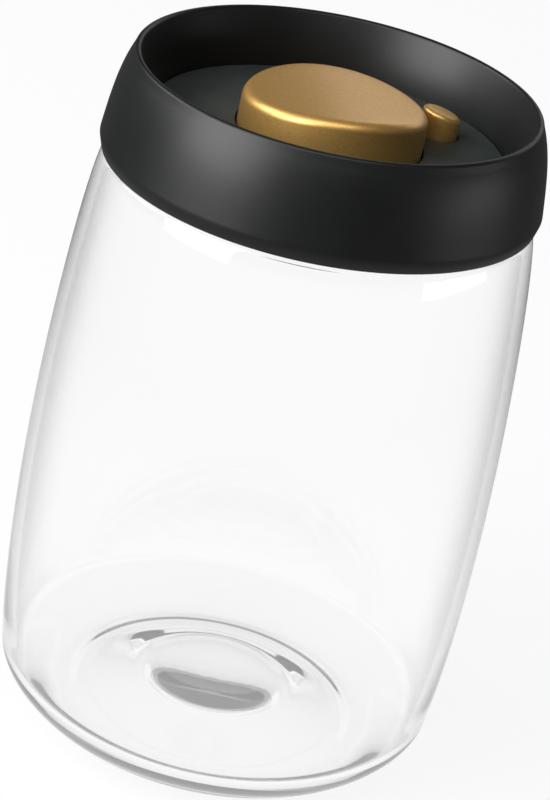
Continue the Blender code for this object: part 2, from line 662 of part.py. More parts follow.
def build_plug_body(lid):
    """Plug that closes the mouth, with the pump cylinder and the vent in its floor."""
    outline = rounded([
        (PLUG_INNER_RADIUS, FLANGE_TOP),
        (FLANGE_RADIUS, FLANGE_TOP),
        (FLANGE_RADIUS, FLANGE_BOTTOM),
        (PLUG_RADIUS, FLANGE_BOTTOM),
        (PLUG_RADIUS, PLUG_BOTTOM, PLUG_ROUND),
        (CYLINDER_OUTER_RADIUS, PLUG_BOTTOM),
        (CYLINDER_OUTER_RADIUS, CYLINDER_BOTTOM),
        (VALVE_STEM_RADIUS + SEAT_GAP, CYLINDER_BOTTOM),
        (VALVE_STEM_RADIUS + SEAT_GAP, CYLINDER_FLOOR_TOP),
        (CYLINDER_RADIUS, CYLINDER_FLOOR_TOP),
        (CYLINDER_RADIUS, CYLINDER_TOP),
        (CYLINDER_OUTER_RADIUS, CYLINDER_TOP),
        (CYLINDER_OUTER_RADIUS, PLUG_FLOOR_TOP),
        (PLUG_INNER_RADIUS, PLUG_FLOOR_TOP),
    ])
    plug = add_piece("plug_body", turned(outline, JAR_STEPS), BLACK_PLASTIC, lid)
    ribs = bmesh.new()
    floor_middle = (PLUG_BOTTOM + PLUG_FLOOR_TOP) / 2
    rib_inner = (CYLINDER_RADIUS + CYLINDER_OUTER_RADIUS) / 2
    rib_outer = (PLUG_RADIUS + PLUG_INNER_RADIUS) / 2
    rib_top = PLUG_FLOOR_TOP + RIB_HEIGHT
    for index in range(RIB_COUNT):
        angle = math.tau * (index + 1 / 2) / RIB_COUNT
        add_bar(ribs, rib_inner, rib_outer, RIB_THICKNESS, floor_middle, rib_top, angle)
    vent_place = (RELEASE_OFFSET, 0)
    add_rod(ribs, vent_place, SPRING_POST_RADIUS, floor_middle, POST_TOP, VALVE_STEPS)
    holes = bmesh.new()
    add_rod(holes, vent_place, VENT_RADIUS, PLUG_BOTTOM - OVERRUN, POST_TOP + OVERRUN, VALVE_STEPS)
    for place in around(INLET_COUNT, INLET_CIRCLE_RADIUS):
        add_rod(holes, place, INLET_RADIUS, CYLINDER_BOTTOM - OVERRUN, CYLINDER_FLOOR_TOP + OVERRUN)
    screw_seats = bmesh.new()
    for place in around(SCREW_COUNT, SCREW_CIRCLE_RADIUS, 1 / 2):
        add_rod(holes, place, SCREW_HOLE_RADIUS, PLUG_BOTTOM - OVERRUN, PLUG_FLOOR_TOP + OVERRUN)
        seat_top = PLUG_BOTTOM + SCREW_SEAT_DEPTH
        add_rod(screw_seats, place, SCREW_SEAT_RADIUS, PLUG_BOTTOM - OVERRUN, seat_top, SCREW_STEPS)
    combine(plug, "plug_body_ribs", ribs, "UNION")
    combine(plug, "plug_body_holes", holes, "DIFFERENCE")
    combine(plug, "plug_body_screw_seats", screw_seats, "DIFFERENCE")


def build_lid_gasket(lid):
    """Silicone ring on the glass lip, with a lip of its own round the plug."""
    inner = PLUG_RADIUS + SEAT_GAP
    lip_outer = inner + GASKET_LIP_THICKNESS
    outline = rounded([
        (inner, GASKET_TOP),
        (GASKET_RADIUS, GASKET_TOP, GASKET_ROUND),
        (GASKET_RADIUS, GASKET_BOTTOM, GASKET_ROUND),
        (lip_outer, GASKET_BOTTOM),
        (lip_outer, GASKET_BOTTOM - GASKET_LIP_DEPTH),
        (inner, GASKET_BOTTOM - GASKET_LIP_DEPTH),
    ])
    add_piece("lid_gasket", turned(outline, JAR_STEPS), WHITE_SILICONE, lid)


def screw_shape(length):
    """Pan-head screw with its head down and the underside of the head at zero."""
    outline = rounded([
        (0, -SCREW_HEAD_HEIGHT),
        (SCREW_HEAD_RADIUS, -SCREW_HEAD_HEIGHT, SCREW_ROUND),
        (SCREW_HEAD_RADIUS, 0),
        (SCREW_SHANK_RADIUS, 0),
        (SCREW_SHANK_RADIUS, length - SCREW_TIP),
        (SCREW_SHANK_RADIUS - SCREW_TIP, length),
        (0, length),
    ], closed=False)
    return turned(outline, SCREW_STEPS, closed=False)


def build_lid_screws(lid):
    """Four screws from below, through the plug floor into the floor plate's bosses."""
    for index, place in enumerate(around(SCREW_COUNT, SCREW_CIRCLE_RADIUS, 1 / 2)):
        name = f"lid_screw_{index + 1}"
        add_piece(name, screw_shape(SCREW_LENGTH), SPRING_STEEL, lid, (*place, SCREW_HEAD_SEAT))


def build_guide_ring(lid):
    """Snap-on ring that guides the plunger and stops the piston at its top."""
    skirt_inner = CYLINDER_OUTER_RADIUS + SEAT_GAP
    outline = rounded([
        (PLUNGER_RADIUS + GLIDE_GAP, GUIDE_BOTTOM),
        (PLUNGER_RADIUS + GLIDE_GAP, GUIDE_TOP, GUIDE_ROUND),
        (GUIDE_RADIUS, GUIDE_TOP, GUIDE_ROUND),
        (GUIDE_RADIUS, GUIDE_BOTTOM - GUIDE_SKIRT_DEPTH),
        (skirt_inner, GUIDE_BOTTOM - GUIDE_SKIRT_DEPTH),
        (skirt_inner, GUIDE_BOTTOM),
    ])
    add_piece("guide_ring", turned(outline, PUMP_STEPS), GREY_PLASTIC, lid)


def build_inlet(lid):
    """Umbrella valve over the inlet holes, and the slotted cover below them."""
    cap_foot = CYLINDER_FLOOR_TOP + SEAT_GAP
    bulb_top = CYLINDER_BOTTOM - SEAT_GAP
    valve = [
        (0, cap_foot + VALVE_CAP_HEIGHT),
        (VALVE_CAP_RADIUS - VALVE_CAP_SLOPE, cap_foot + VALVE_CAP_HEIGHT),
        (VALVE_CAP_RADIUS, cap_foot + VALVE_EDGE_THICKNESS),
        (VALVE_CAP_RADIUS, cap_foot),
        (VALVE_STEM_RADIUS, cap_foot),
        (VALVE_STEM_RADIUS, bulb_top),
        (VALVE_BULB_RADIUS, bulb_top),
        (VALVE_STEM_RADIUS, bulb_top - VALVE_BULB_HEIGHT),
        (0, bulb_top - VALVE_BULB_HEIGHT),
    ]
    add_piece("inlet_valve", turned(valve, VALVE_STEPS, closed=False), WHITE_SILICONE, lid)
    rim_inner = CYLINDER_OUTER_RADIUS + SEAT_GAP
    rim_top = CYLINDER_BOTTOM + COVER_RIM_RISE
    cover_bottom = COVER_TOP - COVER_THICKNESS
    cup = rounded([
        (0, COVER_TOP),
        (rim_inner - COVER_STEP, COVER_TOP),
        (rim_inner - COVER_STEP, bulb_top),
        (rim_inner, bulb_top),
        (rim_inner, rim_top),
        (rim_inner + COVER_WALL, rim_top),
        (rim_inner + COVER_WALL, cover_bottom, COVER_ROUND),
        (0, cover_bottom),
    ], closed=False)
    cover = add_piece("inlet_cover", turned(cup, PUMP_STEPS, closed=False), GREY_PLASTIC, lid)
    slots = bmesh.new()
    for index in range(SLOT_COUNT):
        angle = math.tau * index / SLOT_COUNT
        bottom = cover_bottom - OVERRUN
        top = COVER_TOP + OVERRUN
        add_bar(slots, SLOT_INNER_RADIUS, SLOT_OUTER_RADIUS, SLOT_WIDTH, bottom, top, angle)
    combine(cover, "inlet_cover_slots", slots, "DIFFERENCE")


def crowned(shape, top, edge_round, offset):
    """Bend the top of a cap so that it follows the surface that both buttons share."""
    for vert in shape.verts:
        if vert.co.z > top - edge_round - WELD_DISTANCE:
            vert.co.z += crown(vert.co.x + offset, vert.co.y) - crown(offset, 0)
    return shape


def build_pump_button(pump):
    """Metal cap over the core, its skirt running through the floor plate."""
    outline = rounded([
        (0, BUTTON_CEILING),
        (BUTTON_BORE_RADIUS, BUTTON_CEILING),
        (BUTTON_BORE_RADIUS, BUTTON_BOTTOM),
        (BUTTON_RADIUS, BUTTON_BOTTOM),
        (BUTTON_RADIUS, BUTTON_TOP, BUTTON_EDGE_ROUND),
        *[(BUTTON_RADIUS * share, BUTTON_TOP) for share in TOP_RING_SHARES],
        (0, BUTTON_TOP),
    ], steps=4, closed=False)
    cap = turned(outline, JAR_STEPS, closed=False)
    add_piece("pump_button", crowned(cap, BUTTON_TOP, BUTTON_EDGE_ROUND, 0), GOLD_METAL, pump)


def build_button_core(pump):
    """Disc inside the pump button, screwed down on the plunger."""
    hub_radius = PLUNGER_BORE_RADIUS - SEAT_GAP
    screw_seat = CORE_TOP - SCREW_SEAT_DEPTH
    outline = rounded([
        (SCREW_HOLE_RADIUS, screw_seat),
        (SCREW_SEAT_RADIUS, screw_seat),
        (SCREW_SEAT_RADIUS, CORE_TOP),
        (BUTTON_BORE_RADIUS - SEAT_GAP, CORE_TOP, CORE_ROUND),
        (BUTTON_BORE_RADIUS - SEAT_GAP, CORE_BOTTOM, CORE_ROUND),
        (hub_radius, CORE_BOTTOM),
        (hub_radius, HUB_BOTTOM),
        (SCREW_HOLE_RADIUS, HUB_BOTTOM),
    ])
    add_piece("button_core", turned(outline, PUMP_STEPS), GREY_PLASTIC, pump)
    screw = screw_shape(CORE_SCREW_LENGTH)
    bmesh.ops.rotate(screw, verts=screw.verts, cent=(0, 0, 0), matrix=Matrix.Rotation(math.pi, 3, "X"))
    add_piece("core_screw", screw, SPRING_STEEL, pump, (0, 0, screw_seat + SEAT_GAP))


def build_plunger(pump):
    """Hollow plunger with the piston and its seal groove at its foot."""
    outline = [
        (PLUNGER_BORE_RADIUS, WEB_TOP),
        (PLUNGER_BORE_RADIUS, PLUNGER_TOP),
        (PLUNGER_RADIUS, PLUNGER_TOP),
        (PLUNGER_RADIUS, PISTON_TOP),
        (PISTON_RADIUS, PISTON_TOP),
        (PISTON_RADIUS, GROOVE_TOP),
        (SEAL_SEAT_RADIUS, GROOVE_TOP),
        (SEAL_SEAT_RADIUS, GROOVE_BOTTOM),
        (PISTON_RADIUS, GROOVE_BOTTOM),
        (PISTON_RADIUS, PISTON_BOTTOM),
        (PLUNGER_BORE_RADIUS, PISTON_BOTTOM),
        (PLUNGER_BORE_RADIUS, WEB_BOTTOM),
        (PLUNGER_BOSS_RADIUS, WEB_BOTTOM),
        (PLUNGER_BOSS_RADIUS, WEB_BOTTOM - PLUNGER_BOSS_DEPTH),
        (SCREW_HOLE_RADIUS, WEB_BOTTOM - PLUNGER_BOSS_DEPTH),
        (SCREW_HOLE_RADIUS, WEB_TOP),
    ]
    add_piece("pump_plunger", turned(outline, PUMP_STEPS), GREY_PLASTIC, pump)
    seal_inner = SEAL_SEAT_RADIUS + SEAT_GAP
    seal_outer = CYLINDER_RADIUS - SEAT_GAP
    base_bottom = GROOVE_BOTTOM + SEAT_GAP
    base_top = base_bottom + SEAL_BASE_HEIGHT
    lip_top = base_bottom + SEAL_LIP_HEIGHT
    seal = [
        (seal_inner, base_bottom),
        (seal_outer - SEAL_LIP_FLARE, base_bottom),
        (seal_outer, lip_top),
        (seal_outer - SEAL_LIP_THICKNESS, lip_top),
        (seal_outer - SEAL_LIP_THICKNESS, base_top),
        (seal_inner + SEAL_LIP_THICKNESS, base_top),
        (seal_inner + SEAL_LIP_THICKNESS, lip_top),
        (seal_inner, lip_top),
    ]
    add_piece("piston_seal", turned(seal, PUMP_STEPS), WHITE_SILICONE, pump)


def build_release_valve(release):
    """Small metal button on a stem that pushes a seal off the vent below."""
    pocket = RELEASE_RADIUS - RELEASE_WALL
    pocket_top = RELEASE_BOTTOM + RELEASE_POCKET_DEPTH
    cap_outline = rounded([
        (0, pocket_top),
        (pocket, pocket_top),
        (pocket, RELEASE_BOTTOM),
        (RELEASE_RADIUS, RELEASE_BOTTOM),
        (RELEASE_RADIUS, RELEASE_TOP, RELEASE_EDGE_ROUND),
        (RELEASE_RADIUS * TOP_RING_SHARES[1], RELEASE_TOP),
        (0, RELEASE_TOP),
    ], steps=3, closed=False)
    cap = turned(cap_outline, VALVE_STEPS, closed=False)
    crowned(cap, RELEASE_TOP, RELEASE_EDGE_ROUND, RELEASE_OFFSET)
    add_piece("release_button", cap, GOLD_METAL, release)
    foot_top = RELEASE_SEAL_BOTTOM - SEAT_GAP
    stem_outline = [
        (0, pocket_top - SEAT_GAP),
        (pocket - SEAT_GAP, pocket_top - SEAT_GAP),
        (pocket - SEAT_GAP, STOP_TOP),
        (STOP_RADIUS, STOP_TOP),
        (STOP_RADIUS, STOP_BOTTOM),
        (STEM_RADIUS, STOP_BOTTOM),
        (STEM_RADIUS, foot_top),
        (STEM_FOOT_RADIUS, foot_top),
        (STEM_FOOT_RADIUS, foot_top - STEM_FOOT_THICKNESS),
        (0, foot_top - STEM_FOOT_THICKNESS),
    ]
    add_piece("release_stem", turned(stem_outline, VALVE_STEPS, closed=False), GREY_PLASTIC, release)
    seal_outline = rounded([
        (STEM_RADIUS + SEAT_GAP, RELEASE_SEAL_BOTTOM),
        (STEM_RADIUS + SEAT_GAP, RELEASE_SEAL_TOP),
        (RELEASE_SEAL_RADIUS, RELEASE_SEAL_TOP),
        (RELEASE_SEAL_RADIUS, RELEASE_SEAL_BOTTOM, RELEASE_SEAL_ROUND),
    ])
    add_piece("release_seal", turned(seal_outline, VALVE_STEPS), WHITE_SILICONE, release)


def coil_points(radius, wire_radius, turns, end_pitch, bottom, top):
    """Centre line of a compression spring whose end turns lie closer together."""
    start = bottom + wire_radius
    rise = top - bottom - 2 * wire_radius
    middle_pitch = (rise - 2 * end_pitch) / (turns - 2)
    points = []
    for step in range(turns * COIL_POINTS + 1):
        turn = step / COIL_POINTS
        height = start + min(turn, 1) * end_pitch
        height += min(max(turn - 1, 0), turns - 2) * middle_pitch
        height += max(turn - (turns - 1), 0) * end_pitch
        angle = math.tau * turn
        points.append(Vector((radius * math.cos(angle), radius * math.sin(angle), height)))
    return points


def least_gap(points, wire_radius):
    """Least space between one turn of a coil and the rest of it."""
    apart = COIL_POINTS // 2
    nearest = min(
        (first - second).length
        for index, first in enumerate(points)
        for second in points[index + apart:]
    )
    return nearest - 2 * wire_radius


def build_spring(name, points, wire_radius, carrier):
    """One unbroken round wire along the centre line of a coil."""
    line = bpy.data.curves.new(name, "CURVE")
    line.dimensions = "3D"
    line.bevel_depth = wire_radius
    line.bevel_resolution = 1
    line.use_fill_caps = True
    spline = line.splines.new("POLY")
    spline.points.add(len(points) - 1)
    for place, point in zip(spline.points, points):
        place.co = (*point, 1)
    spline.use_smooth = True
    spring = bpy.data.objects.new(name, line)
    bpy.context.scene.collection.objects.link(spring)
    spring.parent = carrier
    line.materials.append(finish(name, SPRING_STEEL))
    gap = least_gap(points, wire_radius)
    state = "clear" if gap > COIL_MINIMUM_GAP else "too close"
    print(f"{name}: least gap to itself {gap * 1000:.2f} mm, {state}")


def build_springs(lid, valve_seat):
    """Pump spring under the plunger's web, release spring under the stem's stop."""
    pump_line = coil_points(
        PUMP_COIL_RADIUS,
        PUMP_WIRE_RADIUS,
        PUMP_COIL_TURNS,
        PUMP_END_PITCH,
        CYLINDER_FLOOR_TOP + SEAT_GAP,
        WEB_BOTTOM - SEAT_GAP,
    )
    build_spring("pump_spring", pump_line, PUMP_WIRE_RADIUS, lid)
    release_line = coil_points(
        RELEASE_COIL_RADIUS,
        RELEASE_WIRE_RADIUS,
        RELEASE_COIL_TURNS,
        RELEASE_END_PITCH,
        PLUG_FLOOR_TOP + SEAT_GAP,
        STOP_BOTTOM - SEAT_GAP,
    )
    build_spring("release_spring", release_line, RELEASE_WIRE_RADIUS, valve_seat)


def main():
    """Clear the scene and build the jar with its lid in place."""
    for item in list(bpy.data.objects):
        bpy.data.objects.remove(item, do_unlink=True)
    lid = add_carrier("lid_lift", (0, 0, 0))
    pump = add_carrier("pump_stroke", (0, 0, 0), lid)
    valve_seat = add_carrier("release_axis", (RELEASE_OFFSET, 0, 0), lid)
    release = add_carrier("release_stroke", (0, 0, 0), valve_seat)
    build_jar()
    build_lid_shell(lid)
    build_floor_plate(lid)
    build_plug_body(lid)
    build_lid_gasket(lid)
    build_lid_screws(lid)
    build_guide_ring(lid)
    build_inlet(lid)
    build_pump_button(pump)
    build_button_core(pump)
    build_plunger(pump)
    build_release_valve(release)
    build_springs(lid, valve_seat)
    bpy.context.view_layer.update()


main()
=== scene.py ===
"""Looks of a glass storage jar with a vacuum pump in its lid.

The turned pieces are made again with fine curves, and every piece gets the finish of
its real material. All lengths are in metres, in the model's own frame: +Z up, the jar
standing on z = 0, the small release button on the +X side.
"""

import json
import math

import bmesh
import bpy
from mathutils import Matrix, Vector


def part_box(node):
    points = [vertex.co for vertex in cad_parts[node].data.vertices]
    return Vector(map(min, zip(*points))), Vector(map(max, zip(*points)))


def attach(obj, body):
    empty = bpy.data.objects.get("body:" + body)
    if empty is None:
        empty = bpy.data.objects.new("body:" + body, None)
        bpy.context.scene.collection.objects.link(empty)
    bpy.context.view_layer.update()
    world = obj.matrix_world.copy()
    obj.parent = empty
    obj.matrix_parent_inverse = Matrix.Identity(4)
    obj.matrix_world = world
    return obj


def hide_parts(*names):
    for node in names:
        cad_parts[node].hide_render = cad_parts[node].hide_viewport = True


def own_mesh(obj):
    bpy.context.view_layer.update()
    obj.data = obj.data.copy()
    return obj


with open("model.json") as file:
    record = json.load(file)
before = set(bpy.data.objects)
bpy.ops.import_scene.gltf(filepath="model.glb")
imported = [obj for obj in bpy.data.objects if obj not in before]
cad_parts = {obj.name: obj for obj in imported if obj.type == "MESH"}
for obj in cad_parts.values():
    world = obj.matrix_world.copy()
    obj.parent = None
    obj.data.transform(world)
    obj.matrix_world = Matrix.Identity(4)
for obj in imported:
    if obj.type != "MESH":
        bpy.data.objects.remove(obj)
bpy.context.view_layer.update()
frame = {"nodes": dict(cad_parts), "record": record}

MILLIMETRE = 0.001
WHITE = (1, 1, 1, 1)

# Facets round the pieces, by their size
LARGE_STEPS = 192
MEDIUM_STEPS = 128
SMALL_STEPS = 64

# Steps along the curves of the outlines
WALL_STEPS = 40
BUMP_STEPS = 28
SKIRT_STEPS = 24
HEEL_STEPS = 20
INNER_HEEL_STEPS = 16
BASE_STEPS = 14
NECK_STEPS = 10
PLATEAU_STEPS = 8
ROUNDING_STEPS = 6

# Points closer than the first value are merged, and edges shorter than the second go
MERGE_DISTANCE = 1e-6
SHORTEST_EDGE = 1e-7

# Glass jar
GLASS_HEIGHT = 0.1524
GLASS_WALL = 0.0026
LIP_INNER_RADIUS = 0.0446
LIP_OUTER_RADIUS = 0.0486
LIP_FOOT_DROP = 0.002
LIP_ROUND = 0.0018
SHOULDER = (0.0516, 0.147)
SHOULDER_BEND = (0.0547, 0.1449)
BELLY = (0.0613, 0.0615)
HEEL = (0.055, 0.0131)
HEEL_HANDLE = 0.0049
BEARING_OUTER_RADIUS = 0.0394
BEARING_INNER_RADIUS = 0.0374
PLATEAU = (0.0315, 0.0015)
PLATEAU_HANDLE = 0.002
INNER_PUNT_HANDLE = 0.003
PUNT = (0.017, 0.0057)
PUNT_RISE = 0.0006
PUNT_SHARE = 0.75
INNER_PUNT = (0.021, 0.01)
BUMP_TOP = 0.0151
BUMP_TOP_SHARE = 0.71
BUMP_FOOT_SHARE = 0.79
INNER_FLOOR = (0.038, 0.0058)
INNER_FLOOR_HANDLE = 0.0095
INNER_HEEL_HEIGHT = 0.0165
INNER_HEEL_HANDLE = 0.006
INNER_SHOULDER_DROP = 0.0016
NECK_HANDLE_SHARE = 0.45

# Lid shell
SKIRT_FOOT_RADIUS = 0.0526
SKIRT_WIDEST = (0.0534, 0.1508)
SKIRT_LEAN = (0.0526, 0.1578)
RIM_LEAN = (0.0519, 0.1653)
RIM_EDGE = (0.0492, 0.1713)
RIM_CREST_RADIUS = 0.0487
RIM_INNER_RADIUS = 0.0474
RIM_ROUND = 0.0011
SHELL_WALL = 0.0019
SHELL_FOOT_WALL = 0.0013
SHELL_EDGE_ROUND = 0.0005
RECESS_RADIUS = 0.0428
LEDGE_RADIUS = 0.0402
LEDGE_BOTTOM = 0.1564
LEDGE_TOP = 0.1576
CAVITY_TOP = 0.1656
CAVITY_ROUND = 0.0008

# Buttons
FLOOR_TOP = 0.1594
BUTTON_TOP = 0.17
CROWN_RADIUS = 0.115
CROWN_TURN = math.radians(-16)
CROWN_TILT = math.radians(2.8)
BUTTON_RADIUS = 0.0222
BUTTON_EDGE_ROUND = 0.0022
BUTTON_WALL = 0.0018
BUTTON_CEILING = 0.1662
RELEASE_OFFSET = 0.0298
RELEASE_RADIUS = 0.00475
RELEASE_TOP = 0.1653
RELEASE_EDGE_ROUND = 0.0012
RELEASE_WALL = 0.001
RELEASE_CEILING = 0.1624
TOP_RING_SHARES = (0.79, 0.68, 0.57, 0.46, 0.34, 0.22, 0.1)
RELEASE_RING_SHARES = (0.48, 0.32, 0.16)

# Springs: the first and last turns lie closer together
PUMP_COIL_RADIUS = 0.0102
PUMP_WIRE_RADIUS = 0.0006
PUMP_COIL_TURNS = 7
PUMP_END_PITCH = 0.0018
PUMP_SPRING_BOTTOM = 0.1417
PUMP_SPRING_TOP = 0.1608
RELEASE_COIL_RADIUS = 0.0038
RELEASE_WIRE_RADIUS = 0.00025
RELEASE_COIL_TURNS = 6
RELEASE_END_PITCH = 0.001
RELEASE_SPRING_BOTTOM = 0.1475
RELEASE_SPRING_TOP = 0.156
COIL_STEPS = 48
WIRE_STEPS = 12

# Edges: sharp ones are shaded crisp, and rounded on the pieces taken over from the model
MOULDED_EDGE = 0.0002
SEAL_EDGE = 0.0001
EDGE_SEGMENTS = 2
FLAT_ANGLE = math.radians(0.5)
SHARP_ANGLE = math.radians(35)

# Glass: a painted shade that greys it where seen edge-on, standing in for the darker
# surroundings it shows there; the slow wave of its skin, the ripples round its base, its
# faint tint, and the light given after so many bounces in the thick heel, where the
# renderer ends a path
GLASS_IOR = 1.473
PAINTED_EDGE_SHADE = "#b2b2b2"
PAINTED_EDGE_SHADE_START = 0.5
PAINTED_EDGE_SHADE_END = 0.97
WAVE_SIZE = 28 * MILLIMETRE
WAVE_DEPTH = 0.12 * MILLIMETRE
WAVE_STRENGTH = 0.25
RIPPLE_SIZE = 4 * MILLIMETRE
RIPPLE_DEPTH = 0.03 * MILLIMETRE
RIPPLE_STRENGTH = 0.5
RIPPLE_FADE_START = 0.012
RIPPLE_FADE_END = 0.03
GLASS_TINT = "#eceeed"
GLASS_TINT_DENSITY = 12
FOLLOWED_BOUNCES = 3.5
TRAPPED_LIGHT = 0.17

# Moulded plastic
PLASTIC_IOR = 1.49
PLASTIC_SPECULAR = 0.4
SHEEN_PATCH_SIZE = 14 * MILLIMETRE
SHEEN_SPREAD = 0.04
GRAIN_STRENGTH = 0.5

# Gold lacquer, silicone and steel
FLAKE_SIZE = 0.3 * MILLIMETRE
FLAKE_DEPTH = 0.02 * MILLIMETRE
FLAKE_STRENGTH = 0.12
SILICONE_IOR = 1.41
SILICONE_PATCH_SIZE = 6 * MILLIMETRE
SILICONE_GLOW_DEPTH = 2 * MILLIMETRE
DRAWING_MARK_SIZE = 0.5 * MILLIMETRE

# Sockets of a Mix node that mixes colours, given by place because their names repeat
FIRST_COLOUR = 6
SECOND_COLOUR = 7
MIXED_COLOUR = 2

# Camera, matched to the photograph: it looks down at the jar and leans to one side
CAMERA_DISTANCE = 0.8002
CAMERA_TURN = math.radians(-31.8)
CAMERA_ELEVATION = math.radians(25.27)
CAMERA_ROLL = math.radians(12.14)
ORBIT_HEIGHT = 0.0872
AIM_ACROSS = 0.0006
AIM_HEIGHT = 0.0887
LENS = 146.93
SENSOR = 36
VIEW_END = 20

# Studio floor: how bright it looks to the camera, through the glass and as a reflection,
# which fades between two distances from the jar
FLOOR_SIZE = 6
FLOOR_GAP = 0.0002
FLOOR_PAINT = (0.85, 0.85, 0.85, 1)
FLOOR_GLOW = 0.9
FLOOR_GLOW_IN_GLASS = 1
FLOOR_MIRRORED_GLOW = 0.12
NEAR_FLOOR = 0.1
FAR_FLOOR = 0.35

# Studio walls: their light on the jar, and their level through the glass, which starts
# from the floor's at the horizon
WORLD_LEVEL = 0.1
WORLD_LEVEL_IN_GLASS = 0.28
BACKDROP_FADE_START = 0.04
BACKDROP_FADE_END = 0.16

# Soft boxes: place and aim in the photograph's frame, width, height and watts
SOFTBOXES = {
    "left_softbox": ((-0.92, -0.67, 0.52), (0, 0, 0.15), 0.9, 0.95, 23),
    "front_softbox": ((-0.15, -0.62, 1.03), (0, 0, 0.15), 1.2, 0.6, 5.5),
    "upper_left_softbox": ((-1, 0.2, 0.75), (0, 0, 0.15), 0.6, 0.6, 6),
    "right_softbox": ((1.1, -0.15, 0.14), (0, 0, 0.14), 0.8, 0.3, 2),
    "back_softbox": ((0.5, 1.2, 0.66), (0, 0, 0.15), 1.2, 0.4, 1.9),
}


def curve(start, start_handle, end_handle, end, steps):
    """Points of a cubic curve between its two ends, which it leaves out."""
    points = []
    for step in range(1, steps):
        part = step / steps
        rest = 1 - part
        weights = (rest ** 3, 3 * rest ** 2 * part, 3 * rest * part ** 2, part ** 3)
        corners = (start, start_handle, end_handle, end)
        radius = sum(weight * corner[0] for weight, corner in zip(weights, corners))
        height = sum(weight * corner[1] for weight, corner in zip(weights, corners))
        points.append((radius, height))
    return points


def arc_corner(before, corner, after, fillet, steps):
    """Points of the arc that rounds one corner."""
    to_before = (before - corner).normalized()
    to_after = (after - corner).normalized()
    half_angle = to_before.angle(to_after) / 2
    room = min((before - corner).length, (after - corner).length) / 2
    radius = min(fillet, room * math.tan(half_angle))
    tangent = radius / math.tan(half_angle)
    centre = corner + (to_before + to_after).normalized() * radius / math.sin(half_angle)
    start = corner + to_before * tangent - centre
    end = corner + to_after * tangent - centre
    sweep = math.pi - 2 * half_angle
    points = []
    for step in range(steps + 1):
        part = step / steps
        from_start = math.sin((1 - part) * sweep) / math.sin(sweep)
        from_end = math.sin(part * sweep) / math.sin(sweep)
        points.append(centre + start * from_start + end * from_end)
    return points


def rounded(corners, closed=True):
    """Outline through (radius, height) corners, rounded where a third value is given."""
    places = [Vector(corner[:2]) for corner in corners]
    points = []
    for index, corner in enumerate(corners):
        at_end = not closed and index in (0, len(corners) - 1)
        if len(corner) == 2 or at_end:
            points.append(places[index])
            continue
        before = places[index - 1]
        after = places[(index + 1) % len(places)]
        points.extend(arc_corner(before, places[index], after, corner[2], ROUNDING_STEPS))
    return points


def between(start, end, share):
    """Point that lies a share of the way from start to end."""
    return tuple(a + (b - a) * share for a, b in zip(start, end))


def turned(outline, steps, closed=True):
    """Spin an outline about the Z axis; an open one begins and ends on the axis."""
    shape = bmesh.new()
    verts = [shape.verts.new((point[0], 0, point[1])) for point in outline]
    pairs = list(zip(verts, verts[1:]))
    if closed:
        pairs.append((verts[-1], verts[0]))
    edges = [shape.edges.new(pair) for pair in pairs]
    spin_closed(shape, verts + edges, steps)
    return shape


def spin_closed(shape, outline, steps):
    """Turn an outline that is already in a shape once round the Z axis."""
    bmesh.ops.spin(
        shape,
        geom=outline,
        cent=(0, 0, 0),
        axis=(0, 0, 1),
        angle=math.tau,
        steps=steps,
        use_merge=True,
    )
    bmesh.ops.remove_doubles(shape, verts=shape.verts, dist=MERGE_DISTANCE)
    bmesh.ops.dissolve_degenerate(shape, edges=shape.edges, dist=SHORTEST_EDGE)
    bmesh.ops.recalc_face_normals(shape, faces=shape.faces)


def linear(hex_colour):
    """Linear colour of an sRGB hex value."""
    channels = [int(hex_colour[start:start + 2], 16) / 255 for start in (1, 3, 5)]
    return (*[((c + 0.055) / 1.055) ** 2.4 if c > 0.04045 else c / 12.92 for c in channels], 1)


def add_node(tree, kind, inputs=None, **settings):
    """Add a shader node with its settings, and set or link its inputs."""
    node = tree.nodes.new(kind)
    for name, value in settings.items():
        setattr(node, name, value)
    for socket, value in (inputs or {}).items():
        if isinstance(value, bpy.types.NodeSocket):
            tree.links.new(value, node.inputs[socket])
        else:
            node.inputs[socket].default_value = value
    return node


def start_material(name, **sockets):
    """Material with constant values set on its shader's own sockets."""
    material = bpy.data.materials.new(name)
    material.use_nodes = True
    tree = material.node_tree
    shader = tree.nodes["Principled BSDF"]
    for socket, value in sockets.items():
        shader.inputs[socket.replace("_", " ")].default_value = value
    place = add_node(tree, "ShaderNodeTexCoord").outputs["Object"]
    return material, tree, shader, place


def per_size(size):
    """Noise scale that gives features of a real size in metres."""
    return 1 / size


def colour_and_gloss(tree, shader, tone, sheen, dark, light, glossy, dull):
    """Spread a shader's colour between two hex values, and its roughness between two levels."""
    colour = add_node(
        tree,
        "ShaderNodeMix",
        {"Factor": tone, FIRST_COLOUR: linear(dark), SECOND_COLOUR: linear(light)},
        data_type="RGBA",
    )
    roughness = add_node(
        tree,
        "ShaderNodeMapRange",
        {"Value": sheen, "To Min": glossy, "To Max": dull},
    )
    tree.links.new(colour.outputs[MIXED_COLOUR], shader.inputs["Base Color"])
    tree.links.new(roughness.outputs["Result"], shader.inputs["Roughness"])


def waved_skin(tree, place):
    """Slow wave that blowing leaves in the glass all over."""
    wave = add_node(
        tree,
        "ShaderNodeTexNoise",
        {"Vector": place, "Scale": per_size(WAVE_SIZE), "Detail": 1},
    )
    skin = add_node(
        tree,
        "ShaderNodeBump",
        {
            "Height": wave.outputs["Fac"],
            "Strength": WAVE_STRENGTH,
            "Distance": WAVE_DEPTH,
        },
    )
    return skin.outputs["Normal"]


